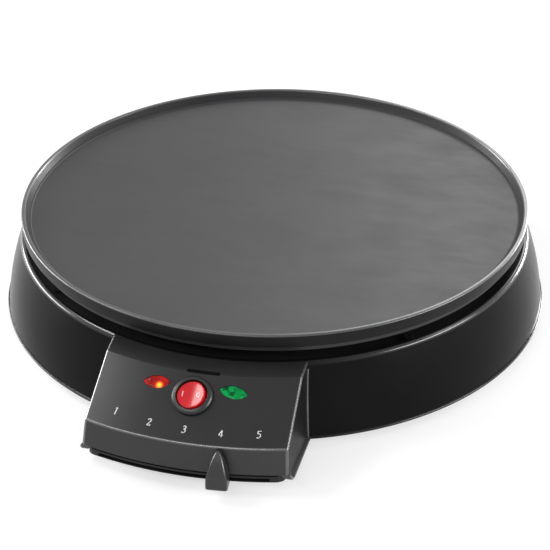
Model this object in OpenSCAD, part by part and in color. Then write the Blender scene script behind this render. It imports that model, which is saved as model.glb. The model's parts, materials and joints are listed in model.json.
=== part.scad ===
// Electric crepe maker: a round hotplate over a flared housing, with a control box at the front.
// Millimetres. The origin is on the plate's upright axis, in the plane the feet stand on.
// +Z is up and the control box points along -Y. Angles are counted from -Y towards +X.

/* [Hotplate] */
// Outside diameter of the plate's rim
plate_d = 320; // [300:1:345]
// Height of the rim above the flat cooking surface
rim_h = 5; // [4.4:0.1:6]
// Width of the rim's flat top
rim_w = 2.5; // [2:0.1:3.5]
// How far the rim's inner wall leans in at its foot
rim_lean = 3; // [1.5:0.1:4]
// Thickness of the plate below the cooking surface
plate_t = 5; // [4:0.1:6]
// Height of the plate's outer wall
wall_h = 8.3; // [7:0.1:9.5]
// Height of the skirt below the outer wall
skirt_h = 4; // [3:0.1:5]
// How far the skirt is set in from the outer wall
skirt_in = 3; // [2:0.1:4]
// Thickness of the skirt
skirt_t = 2.5; // [2:0.1:3]
// Gap between the skirt and the top of the housing
air_gap = 4.8; // [3.5:0.1:6]

/* [Heating] */
// Diameter of the tubular heating element
element_d = 7; // [6:0.1:8]
// Diameter of the element's ring
element_ring_d = 210; // [190:1:230]
// Angle from the front to each end of the element
element_end = 14; // [10:1:20]
// Length of the element's cold ends below the plate
cold_end_l = 22; // [20:1:28]
// Depth of the ridge that holds the element, and of the bosses beside it
ridge_h = 3; // [2.5:0.1:3.4]
// Diameter of the circle of plate screws
plate_screw_pcd = 124; // [110:1:140]
// Thickness of the heat shield's sheet
shield_t = 0.8; // [0.6:0.1:1.2]
// Depth of the heat shield's pan below its flange
shield_dip = 4; // [3:0.5:5]
// Diameter of the hole around the thermostat
shield_hole_d = 60; // [56:1:70]

/* [Housing] */
// Height of the housing from its lower edge to its top
base_h = 46.2; // [44:0.1:50]
// How far the housing's crest stands out past the plate
shoulder_out = 1.6; // [0.8:0.1:3]
// Radius of the rounded crest
shoulder_round = 1.8; // [1.4:0.1:2.4]
// How far the flank flares out from the crest to the lower edge
base_flare = 10.2; // [8:0.1:14]
// How far the flank bulges out from a straight cone
flank_bulge = 1.5; // [0.6:0.1:2]
// Height of the bead along the lower edge
bead_h = 1.5; // [1.2:0.1:2.4]
// How far the bead stands out
bead_out = 1; // [0.6:0.1:1.4]
// How far the bead along the control box's sides stands out
side_bead_out = 1.8; // [1:0.1:2.4]
// Wall thickness of the mouldings
wall = 2.4; // [2:0.1:2.8]
// Width of the crest's flat top
top_w = 0.6; // [0.4:0.1:1.5]
// Depth of the shield's seat below the crest
seat_depth = 4.2; // [3.6:0.1:6]
// Width of the shield's seat
seat_w = 13; // [11:0.5:15]

/* [Control box] */
// Width of the control box at its ledge
box_w = 116; // [112:1:122]
// Draft of the box's sides, in degrees
box_draft = 3.5; // [2:0.1:4]
// Length of the ledge in front of the crest
ledge_l = 11.7; // [10:0.1:14]
// Drop from the housing's crest to the ledge's front edge
ledge_drop = 2.2; // [1.8:0.1:3]
// Fall of the ledge towards the front
ledge_fall = 1.6; // [1:0.1:1.8]
// Length of the sloping panel, measured level
panel_l = 36.9; // [35:0.1:40]
// Height of the front wall
front_h = 15; // [13:0.1:16]
// Height of the front wall's foot above the housing's lower edge
lip_h = 6.5; // [6:0.1:8]
// How far the front wall leans out at its foot
front_lean = 3.7; // [2:0.1:5]
// Bevel between the panel and the front wall
front_bevel = 0.8; // [0.5:0.1:1.2]
// Length of the vent slot above the switch
vent_w = 20; // [16:1:26]

/* [Lever] */
// Numbers on the scale
marks = 5; // [3:1:5]
// Angle between two numbers
mark_step = 6; // [5:0.5:6]
// Number the lever points at, at rest
rest_mark = 4; // [1:1:5]
// Width of the lever's arm
arm_w = 8; // [7:0.5:9]
// Thickness of the lever's arm
arm_t = 1.2; // [1:0.1:1.4]
// Gap between the arm and what it slides past
arm_gap = 0.4; // [0.3:0.1:0.6]
// Height of the arm above the underside, inside the housing
arm_rise = 8; // [6:0.5:10]
// Width of the pointer at its foot
knob_w = 12.4; // [11:0.1:14]
// Height of the pointer
knob_h = 19.5; // [17:0.5:21]
// Depth of the pointer's foot
knob_depth = 9.5; // [8:0.5:12]
// Depth of the pointer's tip
knob_tip = 2.4; // [2:0.1:3]
// Diameter of the thermostat's spindle
spindle_d = 6; // [5:0.5:7]
// Running clearance around the spindle, on the radius
spindle_fit = 0.05; // [0.02:0.01:0.09]

/* [Switch and lamps] */
// Distance of the switch below the panel's upper edge, measured level
switch_down = 12.5; // [11.5:0.1:13.5]
// Outside diameter of the switch's bezel
bezel_d = 23.6; // [23.2:0.1:25]
// Height of the bezel above the panel
bezel_h = 3; // [2.4:0.1:3.4]
// Diameter of the switch's body behind the panel
switch_d = 21.4; // [21:0.1:22]
// Depth of the switch's body behind the panel
switch_depth = 15; // [14:0.5:16]
// Diameter of the rocker
rocker_d = 16.4; // [15.8:0.1:16.8]
// Gap around the rocker
rocker_gap = 0.9; // [0.7:0.1:1]
// Height of the rocker above the bezel's top, level
rocker_rise = 0.3; // [0:0.1:0.8]
// Angle the rocker tips from ON to OFF
rocker_swing = 18; // [14:1:20]
// Diameter of the rocker's pivot pins
pivot_d = 2.4; // [2:0.1:3]
// Running clearance around the pivot pins, on the radius
pivot_fit = 0.05; // [0.02:0.01:0.09]
// Length of each lens
lens_l = 16.4; // [15:0.1:17.5]
// Height of each lens
lens_w = 7.8; // [7:0.1:9]
// Angle of each lens from the middle of the panel
lens_angle = 7.1; // [6.9:0.1:8]
// Distance of the lenses below the panel's upper edge, measured level
lens_down = 8.3; // [8:0.1:10]
// Angle each lens is turned, inner end up
lens_tilt = 9; // [0:1:12]

/* [Underside] */
// Height of the housing's lower edge above the table
foot_h = 7; // [5:0.5:9]
// Diameter of each rubber foot
foot_d = 18; // [14:0.5:22]
// Diameter of the circle of feet
foot_pcd = 280; // [260:1:290]
// Thickness of the base cover
cover_t = 2; // [1.6:0.1:2.4]
// Gap around the base cover
cover_gap = 0.3; // [0.2:0.1:0.5]
// Number of vent slots in each ring
vents = 16; // [8:4:16]
// Width of a vent slot
vent_slot_w = 3; // [2:0.5:3.5]
// Diameter of the cord's bore at the inlet
cord_bore = 7.2; // [6:0.1:8]
// Height of the cord inlet above the housing's lower edge
inlet_h = 15; // [13:0.5:20]

/* [Hidden] */
$fn = 96;
eps = 0.5;

// Heights above the table
edge_z = foot_h;
top_z = edge_z + base_h;
plate_z = top_z + air_gap + skirt_h + wall_h;
cook_z = plate_z - rim_h;
under_z = cook_z - plate_t;
ridge_z = under_z - ridge_h;
seat_z = top_z - seat_depth;
ledge_z = top_z - ledge_drop;
front_z = edge_z + lip_h;
panel_z = front_z + front_h;
floor_z = edge_z + cover_t;

// Radii from the plate's axis
plate_r = plate_d / 2;
cook_r = plate_r - rim_w - rim_lean;
shoulder_r = plate_r + shoulder_out;
edge_r = shoulder_r + base_flare;
well_r = shoulder_r - shoulder_round - top_w;
seat_r = well_r - seat_w;
ledge_r = shoulder_r + ledge_l;
panel_r = ledge_r + panel_l;
front_r = panel_r + front_lean;
cover_r = edge_r - wall - cover_gap;
element_r = element_ring_d / 2;

// Fasteners
screw_d = 4;
screw_head_d = 7.6;
screw_head_h = 2.6;
pilot_d = 3;
small_screw_d = 3;
small_head_d = 5.6;
small_head_h = 2;
recess_w = 0.9;
recess_depth = 1.2;
boss_d = 8;
cover_screws_n = 6;
cover_screw_r = seat_r + 7;
shield_screw_r = (well_r + seat_r) / 2;
shield_screw_l = 8;
cover_screw_l = 14;
box_screw_in = 6.4;
box_screw_x = box_w / 2 - box_screw_in;
box_screw_y = panel_r - 20.2;
box_screw_r = norm([box_screw_x, box_screw_y]);
box_screw_angle = atan(box_screw_x / box_screw_y);

// The line through p along u meets the line through q along v
function meet(p, u, q, v) = p + u * cross(q - p, v) / cross(u, v);
function left_of(p, q) = let (d = (q - p) / norm(q - p)) [-d[1], d[0]];
// A chain of points moved to its left by t, with its corners kept sharp
function inset(c, t) = [
  for (i = [0 : len(c) - 1])
    i == 0 ? c[0] + left_of(c[0], c[1]) * t
    : i == len(c) - 1 ? c[i] + left_of(c[i - 1], c[i]) * t
    : meet(c[i] + left_of(c[i - 1], c[i]) * t, c[i] - c[i - 1],
           c[i] + left_of(c[i], c[i + 1]) * t, c[i + 1] - c[i])
];
function reversed(c) = [for (i = [len(c) - 1 : -1 : 0]) c[i]];
function arc(centre, r, a0, a1, n) = [
  for (i = [0 : n]) let (a = a0 + (a1 - a0) * i / n) centre + r * [cos(a), sin(a)]
];
// A bowed line from p to q that stands out to its right by sag, without its end point
function bow(p, q, sag, n) = [
  for (i = [0 : n - 1]) let (t = i / n)
    p + (q - p) * t - left_of(p, q) * sag * 4 * t * (1 - t)
];

module at(angle, r, z = 0) { rotate([0, 0, angle]) translate([0, -r, z]) children(); }
module around(n, r, z = 0, first = 0) {
  for (i = [0 : n - 1]) at(first + i * 360 / n, r, z) children();
}
module ring(r_out, r_in, z0, z1) {
  translate([0, 0, z0]) difference() {
    cylinder(r = r_out, h = z1 - z0);
    translate([0, 0, -eps]) cylinder(r = r_in, h = z1 - z0 + 2 * eps);
  }
}
module box(w, l, h) { translate([-w / 2, -l / 2, 0]) cube([w, l, h]); }
// A pan head with a cross recess, its shank pointing up
module screw(d, head_d, head_h, l) {
  difference() {
    union() {
      cylinder(d = head_d, h = head_h);
      cylinder(d = d, h = head_h + l);
    }
    for (a = [0, 90]) rotate([0, 0, a]) translate([0, 0, -eps])
      box(recess_w, head_d * 0.6, eps + recess_depth);
  }
}

function unit(v) = v / norm(v);
// A list of points with each corner cut n times, which leaves its ends in place
function cut_corners(p, n) = n == 0 ? p : cut_corners([
  p[0],
  for (i = [0 : len(p) - 2]) each [p[i] * 0.75 + p[i + 1] * 0.25, p[i] * 0.25 + p[i + 1] * 0.75],
  p[len(p) - 1]
], n - 1);
// Directions along a list of points
function tangents(p) = let (last = len(p) - 1) [
  for (i = [0 : last]) unit(p[min(i + 1, last)] - p[max(i - 1, 0)])
];
// A pair of crosswise directions at each point, carried along without twist
function crosswise(t) = [
  for (
    i = 0, s = unit(cross(t[0], abs(t[0][2]) < 0.9 ? [0, 0, 1] : [1, 0, 0]));
    i < len(t);
    i = i + 1, s = i < len(t) ? unit(s - t[i] * (s * t[i])) : s
  ) [s, cross(t[i], s)]
];

wire_sides = 8;
// Round wire along a route, swept as one skin
module wire(route, d) {
  p = cut_corners(route, 2);
  frame = crosswise(tangents(p));
  last = len(p) - 1;
  skin = [
    for (i = [0 : last], k = [0 : wire_sides - 1]) let (a = 360 * k / wire_sides)
      p[i] + (frame[i][0] * cos(a) + frame[i][1] * sin(a)) * d / 2
  ];
  sides = [
    for (i = [0 : last - 1], k = [0 : wire_sides - 1])
      let (a = i * wire_sides + k, b = i * wire_sides + (k + 1) % wire_sides)
        each [[a, b + wire_sides, b], [a, a + wire_sides, b + wire_sides]]
  ];
  ends = [
    [for (k = [0 : wire_sides - 1]) k], [for (k = [wire_sides - 1 : -1 : 0]) last * wire_sides + k]
  ];
  polyhedron(skin, concat(ends, sides));
}
function spot(angle, r, z) = [r * sin(angle), -r * cos(angle), z];

// ---- Hotplate ----

module hotplate_outline() {
  skirt_r = plate_r - skirt_in;
  wall_z = plate_z - wall_h;
  polygon([
    [0, under_z], [skirt_r - skirt_t - 2, under_z], [skirt_r - skirt_t, wall_z - skirt_h],
    [skirt_r, wall_z - skirt_h], [skirt_r, wall_z], [plate_r - 0.9, wall_z],
    [plate_r - 0.3, wall_z + 0.8], [plate_r, plate_z - 0.8], [plate_r - 0.8, plate_z],
    [plate_r - rim_w + 0.4, plate_z], [plate_r - rim_w, plate_z - 0.4],
    [cook_r + 0.6, cook_z + 0.9], [cook_r - 0.4, cook_z], [0, cook_z]
  ]);
}

module hotplate() {
  color("#3a3a3d") difference() {
    union() {
      rotate_extrude() hotplate_outline();
      ring(element_r + element_d, element_r - element_d, ridge_z, under_z + eps);
      around(3, plate_screw_pcd / 2, ridge_z, 30) cylinder(d = 14, h = ridge_h + eps);
      for (s = [-1, 1]) translate([s * bracket_screw_x, 0, ridge_z])
        cylinder(d = boss_d, h = ridge_h + eps);
    }
    rotate_extrude() translate([element_r, ridge_z]) circle(d = element_d);
    element_ends() sphere(d = elbow_d + 1);
    around(3, plate_screw_pcd / 2, ridge_z - eps, 30) cylinder(d = screw_d, h = 6 + eps);
    for (s = [-1, 1]) translate([s * bracket_screw_x, 0, ridge_z - eps])
      cylinder(d = small_screw_d, h = 5 + eps);
    at(fuse_angle, fuse_r - fuse_screw_in, under_z - eps) cylinder(d = small_screw_d, h = fuse_screw_l + eps);
  }
}

// ---- Heating element and shield ----

element_z = ridge_z;
elbow_d = element_d + 0.4;
module element_ends() { for (s = [-1, 1]) at(s * element_end, element_r, element_z) children(); }

module heating_element() {
  color("#8a8780") union() {
    rotate([0, 0, element_end - 90]) rotate_extrude(angle = 360 - 2 * element_end)
      translate([element_r, 0]) translate([0, element_z]) circle(d = element_d);
    element_ends() {
      sphere(d = elbow_d);
      translate([0, 0, -cold_end_l]) cylinder(d = element_d, h = cold_end_l);
    }
  }
}

tab_w = 6.3;
tab_t = 0.8;
tab_l = 8;
module element_terminals() {
  color("#c9c4b4") element_ends() translate([0, 0, -cold_end_l]) {
    translate([0, 0, -2]) cylinder(d = 3, h = 2);
    translate([0, 0, -2 - tab_l]) box(tab_w, tab_t, tab_l);
  }
}

pan_r = seat_r - 3;
pan_z = seat_z - shield_dip;
spacer_d = 9;
module heat_shield() {
  chain = [
    [well_r - cover_gap, seat_z], [pan_r, seat_z], [pan_r - shield_dip, pan_z],
    [shield_hole_d / 2, pan_z]
  ];
  color("#b9bcc0") difference() {
    rotate_extrude() polygon([
      chain[0], chain[1], chain[2], chain[3],
      chain[3] + [0, shield_t], chain[2] + [0.35, shield_t], chain[1] + [0.35, shield_t],
      chain[0] + [0, shield_t]
    ]);
    element_ends() translate([0, 0, -cold_end_l]) cylinder(d = element_d + 3, h = cold_end_l);
    around(3, plate_screw_pcd / 2, pan_z - eps, 30) cylinder(d = screw_d + 0.4, h = shield_t + 2 * eps);
    around(4, shield_screw_r, seat_z - eps, 45) cylinder(d = small_screw_d + 0.4, h = shield_t + 2 * eps);
  }
}

module shield_screws() {
  color("silver") around(4, shield_screw_r, seat_z + shield_t, 45) rotate([180, 0, 0])
    translate([0, 0, -small_head_h]) screw(small_screw_d, small_head_d, small_head_h, shield_screw_l);
}

module plate_spacers() {
  color("silver") around(3, plate_screw_pcd / 2, pan_z + shield_t, 30) difference() {
    cylinder(d = spacer_d, h = ridge_z - pan_z - shield_t);
    translate([0, 0, -eps]) cylinder(d = screw_d + 0.4, h = 2 * eps + ridge_z - pan_z - shield_t);
  }
}

module plate_screws() {
  color("silver") around(3, plate_screw_pcd / 2, pan_z - screw_head_h, 30)
    screw(screw_d, screw_head_d, screw_head_h, ridge_z - pan_z + 6);
}

// ---- Thermostat ----

bracket_t = 1.5;
bracket_screw_x = 20;
bracket_w = 14;
body_l = 30;
body_w = 20;
body_h = 13;
bush_d = 10;
bush_h = 6;
blade_x = 9;
blade_up = 3;
blade_run = 6;
bracket_z = ridge_z - bracket_t;
body_z = bracket_z - body_h;
bush_z = body_z - bush_h;
hub_z = bush_z - 6;

module thermostat_bracket() {
  color("#b9bcc0") difference() {
    translate([0, 0, bracket_z]) box(2 * bracket_screw_x + 9, bracket_w, bracket_t);
    for (s = [-1, 1]) translate([s * bracket_screw_x, 0, bracket_z - eps])
      cylinder(d = small_screw_d + 0.4, h = bracket_t + 2 * eps);
  }
}

module underplate_screws() {
  color("silver") {
    for (s = [-1, 1]) translate([s * bracket_screw_x, 0, bracket_z - small_head_h])
      screw(small_screw_d, small_head_d, small_head_h, bracket_t + 5);
    fuse_place() translate([0, fuse_screw_in, -strap_t - small_head_h])
      screw(small_screw_d, small_head_d, small_head_h, strap_t + fuse_screw_l);
  }
}

module thermostat_body() {
  color("#e6e2d6") difference() {
    union() {
      translate([0, 0, body_z]) box(body_l, body_w, body_h);
      translate([0, 0, bush_z]) cylinder(d = bush_d, h = bush_h + eps);
    }
    translate([0, 0, bush_z - eps])
      cylinder(d = spindle_d + 2 * spindle_fit, h = bush_h + 4 + eps);
  }
}

module thermostat_contacts() {
  color("#c9a45c") for (s = [-1, 1]) translate([s * blade_x, body_w / 2, body_z + blade_up]) {
    translate([-tab_w / 2, 0, 0]) cube([tab_w, tab_l, tab_t]);
    translate([-1, 0, -2]) cube([2, tab_t, 2]);
  }
}

module thermostat_spindle() {
  color("silver") difference() {
    translate([0, 0, hub_z - 3]) cylinder(d = spindle_d, h = body_z + 6 - hub_z);
    ring(spindle_d, spindle_d / 2 - clip_bite, hub_z - clip_t, hub_z);
  }
}

// ---- Lever ----

rest_angle = (rest_mark - (marks + 1) / 2) * mark_step;
scale_half = mark_step * (marks - 1) / 2;
slot_drop = 0.3;
slot_z0 = floor_z - slot_drop;
slot_h = arm_t + 2 * arm_gap;
slot_in_r = panel_r - 8;
tip_z = slot_z0 + arm_gap;
run_z = edge_z + arm_rise;
knob_gap = 0.8;
knob_r = front_r + knob_gap;
arm_end_r = knob_r + 6;

arm_heel = 8;
arm_hub_l = 16;
arm_crank_l = 12;
arm_step_l = 8;
arm_step_in = 12;
arm_step_r = panel_r - arm_step_in;

// The arm's lower edge from the spindle to the slot, as [radius, height]
function arm_line() = [
  [-arm_heel, hub_z], [arm_hub_l, hub_z], [arm_hub_l + arm_crank_l, run_z], [arm_step_r, run_z],
  [arm_step_r + arm_step_l, tip_z], [arm_end_r, tip_z]
];

module lever_arm() {
  lower = arm_line();
  color("#b9bcc0") rotate([0, 0, rest_angle]) difference() {
    translate([arm_w / 2, 0, 0]) rotate([90, 0, -90]) linear_extrude(arm_w)
      polygon(concat(lower, reversed(inset(lower, arm_t))));
    translate([0, 0, hub_z - eps]) cylinder(d = spindle_d, h = arm_t + 2 * eps);
  }
}

clip_t = 1;
clip_bite = 0.6;
module lever_clip() {
  color("silver") rotate([0, 0, rest_angle]) difference() {
    ring(spindle_d / 2 + 2.6, spindle_d / 2 - clip_bite, hub_z - clip_t, hub_z);
    translate([0, spindle_d, hub_z - clip_t - eps]) box(spindle_d - 2, 2 * spindle_d, clip_t + 2 * eps);
  }
}

knob_z = tip_z - arm_gap;
// Height at which the pointer's sides start to close in, and the radius of each side from there up
knob_straight = 3;
arch_side = (pow(knob_h - knob_straight, 2) + pow(knob_w / 2, 2)) / knob_w;
module knob_face() {
  intersection() {
    translate([-knob_w / 2, 0]) square([knob_w, knob_h]);
    union() {
      translate([-knob_w / 2, 0]) square([knob_w, knob_straight]);
      translate([0, knob_straight]) intersection_for(s = [-1, 1])
        translate([s * (arch_side - knob_w / 2), 0]) circle(r = arch_side, $fn = 180);
    }
  }
}

module lever_knob() {
  side = [
    [0, 0], [knob_depth - 1, 0], [knob_depth, 1.2], [knob_tip + 3.4, knob_h * 0.55],
    [knob_tip, knob_h - 0.4], [knob_tip - 0.5, knob_h], [0, knob_h]
  ];
  color("#2b2b2d") at(rest_angle, knob_r, knob_z) difference() {
    intersection() {
      translate([0, eps, 0]) rotate([90, 0, 0]) linear_extrude(knob_depth + 2 * eps) knob_face();
      translate([knob_w, 0, 0]) rotate([90, 0, -90]) linear_extrude(2 * knob_w) polygon(side);
    }
    translate([-arm_w / 2, -6, tip_z - knob_z]) cube([arm_w, 6 + eps, arm_t]);
  }
}

// ---- Housing ----

flank_n = 8;
shoulder_n = 8;
flank_lean = 12;
bead_slant = 0.4;
shoulder_c = [shoulder_r - shoulder_round, top_z - shoulder_round];
// The flank from the bead up to the crest
function flank_chain() = bow(
  [edge_r, edge_z + bead_h + bead_slant], shoulder_c + shoulder_round * [cos(flank_lean), sin(flank_lean)],
  flank_bulge, flank_n
);
function housing_chain() = concat(
  [[edge_r + bead_out, edge_z], [edge_r + bead_out, edge_z + bead_h]],
  flank_chain(),
  arc(shoulder_c, shoulder_round, flank_lean, 90, shoulder_n),
  [[well_r, top_z], [well_r, seat_z], [seat_r, seat_z]]
);
// The inside of the flank, up to the underside of the shield's seat
seat_under = seat_z - wall;
function flank_inside() = [
  for (p = inset(concat([[edge_r, edge_z]], flank_chain()), wall)) if (p[1] < seat_under - 1) p
];

// The housing filled in, from just below its lower edge
module housing_solid() {
  chain = housing_chain();
  rotate_extrude() polygon(concat(
    [chain[0] - [0, eps]], [for (i = [1 : len(chain) - 4]) chain[i]], [[0, top_z], [0, edge_z - eps]]
  ));
}

inlet_pad_d = 24;
inlet_pad_y = edge_r + 0.4;
inlet_z = edge_z + inlet_h;
inlet_hole_d = 13;
module inlet_axis(y) { translate([0, y, inlet_z]) rotate([90, 0, 0]) children(); }

module base_housing() {
  inside = flank_inside();
  boss_h = seat_z - 1 - floor_z;
  rib_l = edge_r - cover_screw_r;
  rib_low = 8;
  color("#2b2b2d") difference() {
    union() {
      rotate_extrude() polygon(concat(
        housing_chain(),
        [[seat_r, seat_under], [inside[len(inside) - 1][0] - 0.5, seat_under]],
        reversed(inside)
      ));
      around(cover_screws_n, cover_screw_r, floor_z, 30) cylinder(d = boss_d, h = boss_h);
      intersection() {
        around(cover_screws_n, cover_screw_r + rib_l / 2, floor_z + rib_low, 30)
          box(wall * 0.7, rib_l, boss_h - rib_low);
        housing_solid();
      }
      inlet_axis(inlet_pad_y) cylinder(d = inlet_pad_d, h = 10);
    }
    around(cover_screws_n, cover_screw_r, floor_z - eps, 30) cylinder(d = pilot_d, h = 14 + eps);
    around(4, shield_screw_r, seat_z - wall - eps, 45) cylinder(d = small_screw_d, h = wall + 2 * eps);
    translate([-window_w / 2, -edge_r - 2, edge_z - eps]) cube([window_w, 32, window_h]);
    inlet_axis(inlet_pad_y + eps) cylinder(d = inlet_hole_d, h = 12);
  }
}

// ---- Control box ----

window_w = box_w - 22;
window_h = base_h - 14;
ledge_slope = ledge_fall / ledge_l;
box_back_r = shoulder_r - shoulder_round * 0.4;
panel_slope = atan((ledge_z - panel_z) / panel_l);
function panel_height(down) = ledge_z - down * tan(panel_slope);

function box_chain() = [
  [front_r, front_z], [panel_r + front_bevel * 0.25, panel_z - front_bevel],
  [panel_r - front_bevel, panel_z + front_bevel * tan(panel_slope)], [ledge_r, ledge_z],
  [box_back_r, ledge_z + (ledge_r - box_back_r) * ledge_slope]
];

// Half the box's width at a height, this far inside its drafted side
function half_width(z, inward) = box_w / 2 - inward + (ledge_z - z) * tan(box_draft);

// The block between the box's two drafted sides, with a bead along its foot
module box_sides(inward, bead) {
  top = top_z + box_sides_over;
  bead_z = edge_z + bead_h - bead_step;
  half = [
    [half_width(edge_z, inward) + bead, edge_z - 1], [half_width(edge_z, inward) + bead, bead_z],
    [half_width(bead_z + bead, inward), bead_z + bead], [half_width(top, inward), top]
  ];
  translate([0, -shoulder_r + box_sides_in, 0]) rotate([90, 0, 0])
    linear_extrude(foot_r - shoulder_r + box_sides_in + box_sides_over)
    polygon(concat(half, [for (p = reversed(half)) [-p[0], p[1]]]));
}
// How much lower this bead is than the housing's
bead_step = 0.2;
// How far the block runs into the housing, and past the top and the front
box_sides_in = 24;
box_sides_over = 4;

// The place on the panel at this angle, and this far below its upper edge, facing out of it
module on_panel(angle, down) {
  at(angle, ledge_r + down, panel_height(down)) rotate([panel_slope, 0, 0]) children();
}

// The place of the lens on this side
module lens_place(side) {
  on_panel(side * lens_angle, lens_down) rotate([0, 0, -side * lens_tilt]) children();
}

module lens_outline(grow) {
  half_l = lens_l / 2 + grow;
  half_w = lens_w / 2 + grow;
  r = (half_l * half_l + half_w * half_w) / (2 * half_w);
  intersection_for(s = [-1, 1]) translate([0, s * (r - half_w)]) circle(r = r, $fn = 180);
}

module box_outer() {
  chain = box_chain();
  intersection() {
    rotate([0, 0, -120]) rotate_extrude(angle = 60) polygon(concat(
      [[box_back_r, edge_z], [foot_r, edge_z]], chain
    ));
    box_sides(0, side_bead_out);
  }
}

// The hollow, which runs out under the front wall and leaves room for the cover's lip
module box_inner() {
  chain = inset(box_chain(), wall);
  last = chain[len(chain) - 1];
  past_r = front_r + front_lean;
  intersection() {
    rotate([0, 0, -120]) rotate_extrude(angle = 60) polygon(concat(
      [[box_back_r - 1, edge_z - 1], [past_r, edge_z - 1], [past_r, front_z], [chain[0][0], front_z]],
      [for (i = [1 : len(chain) - 1]) chain[i]], [[box_back_r - 1, last[1]]]
    ));
    box_sides(wall, 0);
  }
}

// Rounds the foot of the front corners
module corner_cuts() {
  for (s = [-1, 1]) translate([s * box_w / 2, -corner_y, edge_z]) rotate([90, 0, 90])
    linear_extrude(corner_w, center = true) difference() {
      translate([-corner_round, -corner_round]) square(2 * corner_round);
      translate([corner_round, corner_round]) circle(r = corner_round);
      translate([corner_round, -corner_round]) square([2 * corner_round, 4 * corner_round]);
      translate([-2 * corner_round, corner_round]) square([4 * corner_round, 2 * corner_round]);
    }
}

corner_round = 7;
corner_w = 14;
// Radius of the sides' front ends at their foot
foot_lean = 0.2;
foot_r = front_r + lip_h * foot_lean;
// The same, measured level and square to the front
corner_y = sqrt(pow(foot_r, 2) - pow(box_w / 2, 2));
module control_box() {
  color("#2b2b2d") difference() {
    union() {
      difference() {
        box_outer();
        box_inner();
      }
      intersection() {
        for (s = [-1, 1]) at(s * box_screw_angle, box_screw_r, floor_z) cylinder(d = boss_d, h = 40);
        box_outer();
      }
    }
    housing_solid();
    corner_cuts();
    for (s = [-1, 1]) at(s * box_screw_angle, box_screw_r, floor_z - eps) cylinder(d = pilot_d, h = 14);
    on_panel(0, switch_down) {
      translate([0, 0, -bezel_seat]) cylinder(d = bezel_d + 2 * bezel_gap, h = 5);
      translate([0, 0, -wall - 2]) cylinder(d = switch_d + 2 * hole_fit, h = wall + 4);
    }
    for (s = [-1, 1]) lens_place(s) translate([0, 0, -wall - 2])
      linear_extrude(wall + 4) lens_outline(hole_fit);
    rotate([0, 0, -90 + vent_angle - vent_turn / 2]) rotate_extrude(angle = vent_turn)
      translate([ledge_r - vent_slot_l, ledge_z - 6]) square([vent_slot_l + vent_past, 12]);
  }
}
bezel_seat = 0.5;
bezel_gap = 0.3;
hole_fit = 0.1;
// The vent slot along the ledge's front edge
vent_angle = 0.9;
vent_slot_l = 2.3;
vent_past = 0.3;
vent_turn = vent_w / ledge_r * 180 / PI;

module box_screws() {
  color("silver") for (s = [-1, 1]) at(s * box_screw_angle, box_screw_r, edge_z - small_head_h)
    screw(small_screw_d, small_head_d, small_head_h, cover_screw_l);
}

// ---- Switch ----

well_d = rocker_d + 2 * rocker_gap;
pivot_h = -0.8;
bezel_cone = 1.5;
module switch_frame() { on_panel(0, switch_down) children(); }

module switch_body() {
  color("#232324") switch_frame() difference() {
    union() {
      translate([0, 0, -bezel_seat]) cylinder(d = bezel_d, h = bezel_h - bezel_cone + bezel_seat);
      translate([0, 0, bezel_h - bezel_cone]) rotate_extrude() polygon([
        [0, 0], [bezel_d / 2, 0], [bezel_mid_d / 2, bezel_cone * 0.7], [well_d / 2 + 0.4, bezel_cone],
        [0, bezel_cone]
      ]);
      translate([0, 0, -switch_depth]) cylinder(d = switch_d, h = switch_depth);
    }
    translate([0, 0, -well_sink]) cylinder(d = well_d, h = well_sink + bezel_h + 1);
    translate([0, 0, pivot_h]) rotate([90, 0, 0]) translate([0, 0, -pivot_l / 2 - pivot_play])
      cylinder(d = pivot_d + 2 * pivot_fit, h = pivot_l + 2 * pivot_play);
  }
}
well_sink = 7.5;
pivot_play = 0.2;
pivot_l = well_d + 1.6;
bezel_mid_d = (bezel_d + well_d) / 2 + 0.8;

face_r = 46;
rocker_skirt = 3.4;
module power_rocker() {
  color("#c01822") switch_frame() translate([0, 0, pivot_h]) rotate([0, -rocker_swing / 2, 0]) {
    difference() {
      translate([0, 0, -rocker_skirt])
        cylinder(d = rocker_d, h = rocker_skirt + bezel_h + rocker_rise - pivot_h);
      translate([0, rocker_d, bezel_h + rocker_rise - pivot_h + face_r - 1]) rotate([90, 0, 0])
        cylinder(r = face_r, h = 2 * rocker_d, $fn = 180);
    }
    translate([0, pivot_l / 2, 0]) rotate([90, 0, 0]) cylinder(d = pivot_d, h = pivot_l);
  }
}

switch_tab_l = 7;
module switch_terminals() {
  color("#c9c4b4") switch_frame() for (x = [-6, 0, 6])
    translate([x, 0, -switch_depth - switch_tab_l]) box(tab_t, tab_w - 1.5, switch_tab_l);
}

// ---- Lamps ----

lens_back = 1.2;
// The lens's flange stays this far behind the wall, because the panel is curved and the lens is flat
lens_seat = 0.15;
lens_inset = 0.2;
module lens() {
  translate([0, 0, -wall - lens_seat]) linear_extrude(wall + lens_seat - lens_inset) lens_outline(0);
  translate([0, 0, -wall - lens_back - lens_seat]) linear_extrude(lens_back) lens_outline(1);
}
holder_d = 9;
holder_l = 11;
lamp_d = 5.6;
holder_top = -wall - lens_back - lens_seat;
module lamp() {
  translate([0, 0, holder_top - holder_l + 1.5]) cylinder(d = lamp_d, h = 6);
  translate([0, 0, holder_top - holder_l + 7.5]) sphere(d = lamp_d);
}
module power_lens() { color("#d01818") lens_place(-1) lens(); }
module ready_lens() { color("#0e8a3c") lens_place(1) lens(); }
module power_lamp() { color("#ff9a30") lens_place(-1) lamp(); }
module ready_lamp() { color("#d8e8d8") lens_place(1) lamp(); }
module lamp_holders() {
  color("#e6e2d6") for (s = [-1, 1]) lens_place(s)
    translate([0, 0, holder_top - holder_l]) difference() {
      cylinder(d = holder_d, h = holder_l);
      translate([0, 0, 1.5]) cylinder(d = lamp_d + 0.2, h = holder_l);
    }
}

// ---- Underside ----

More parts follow.
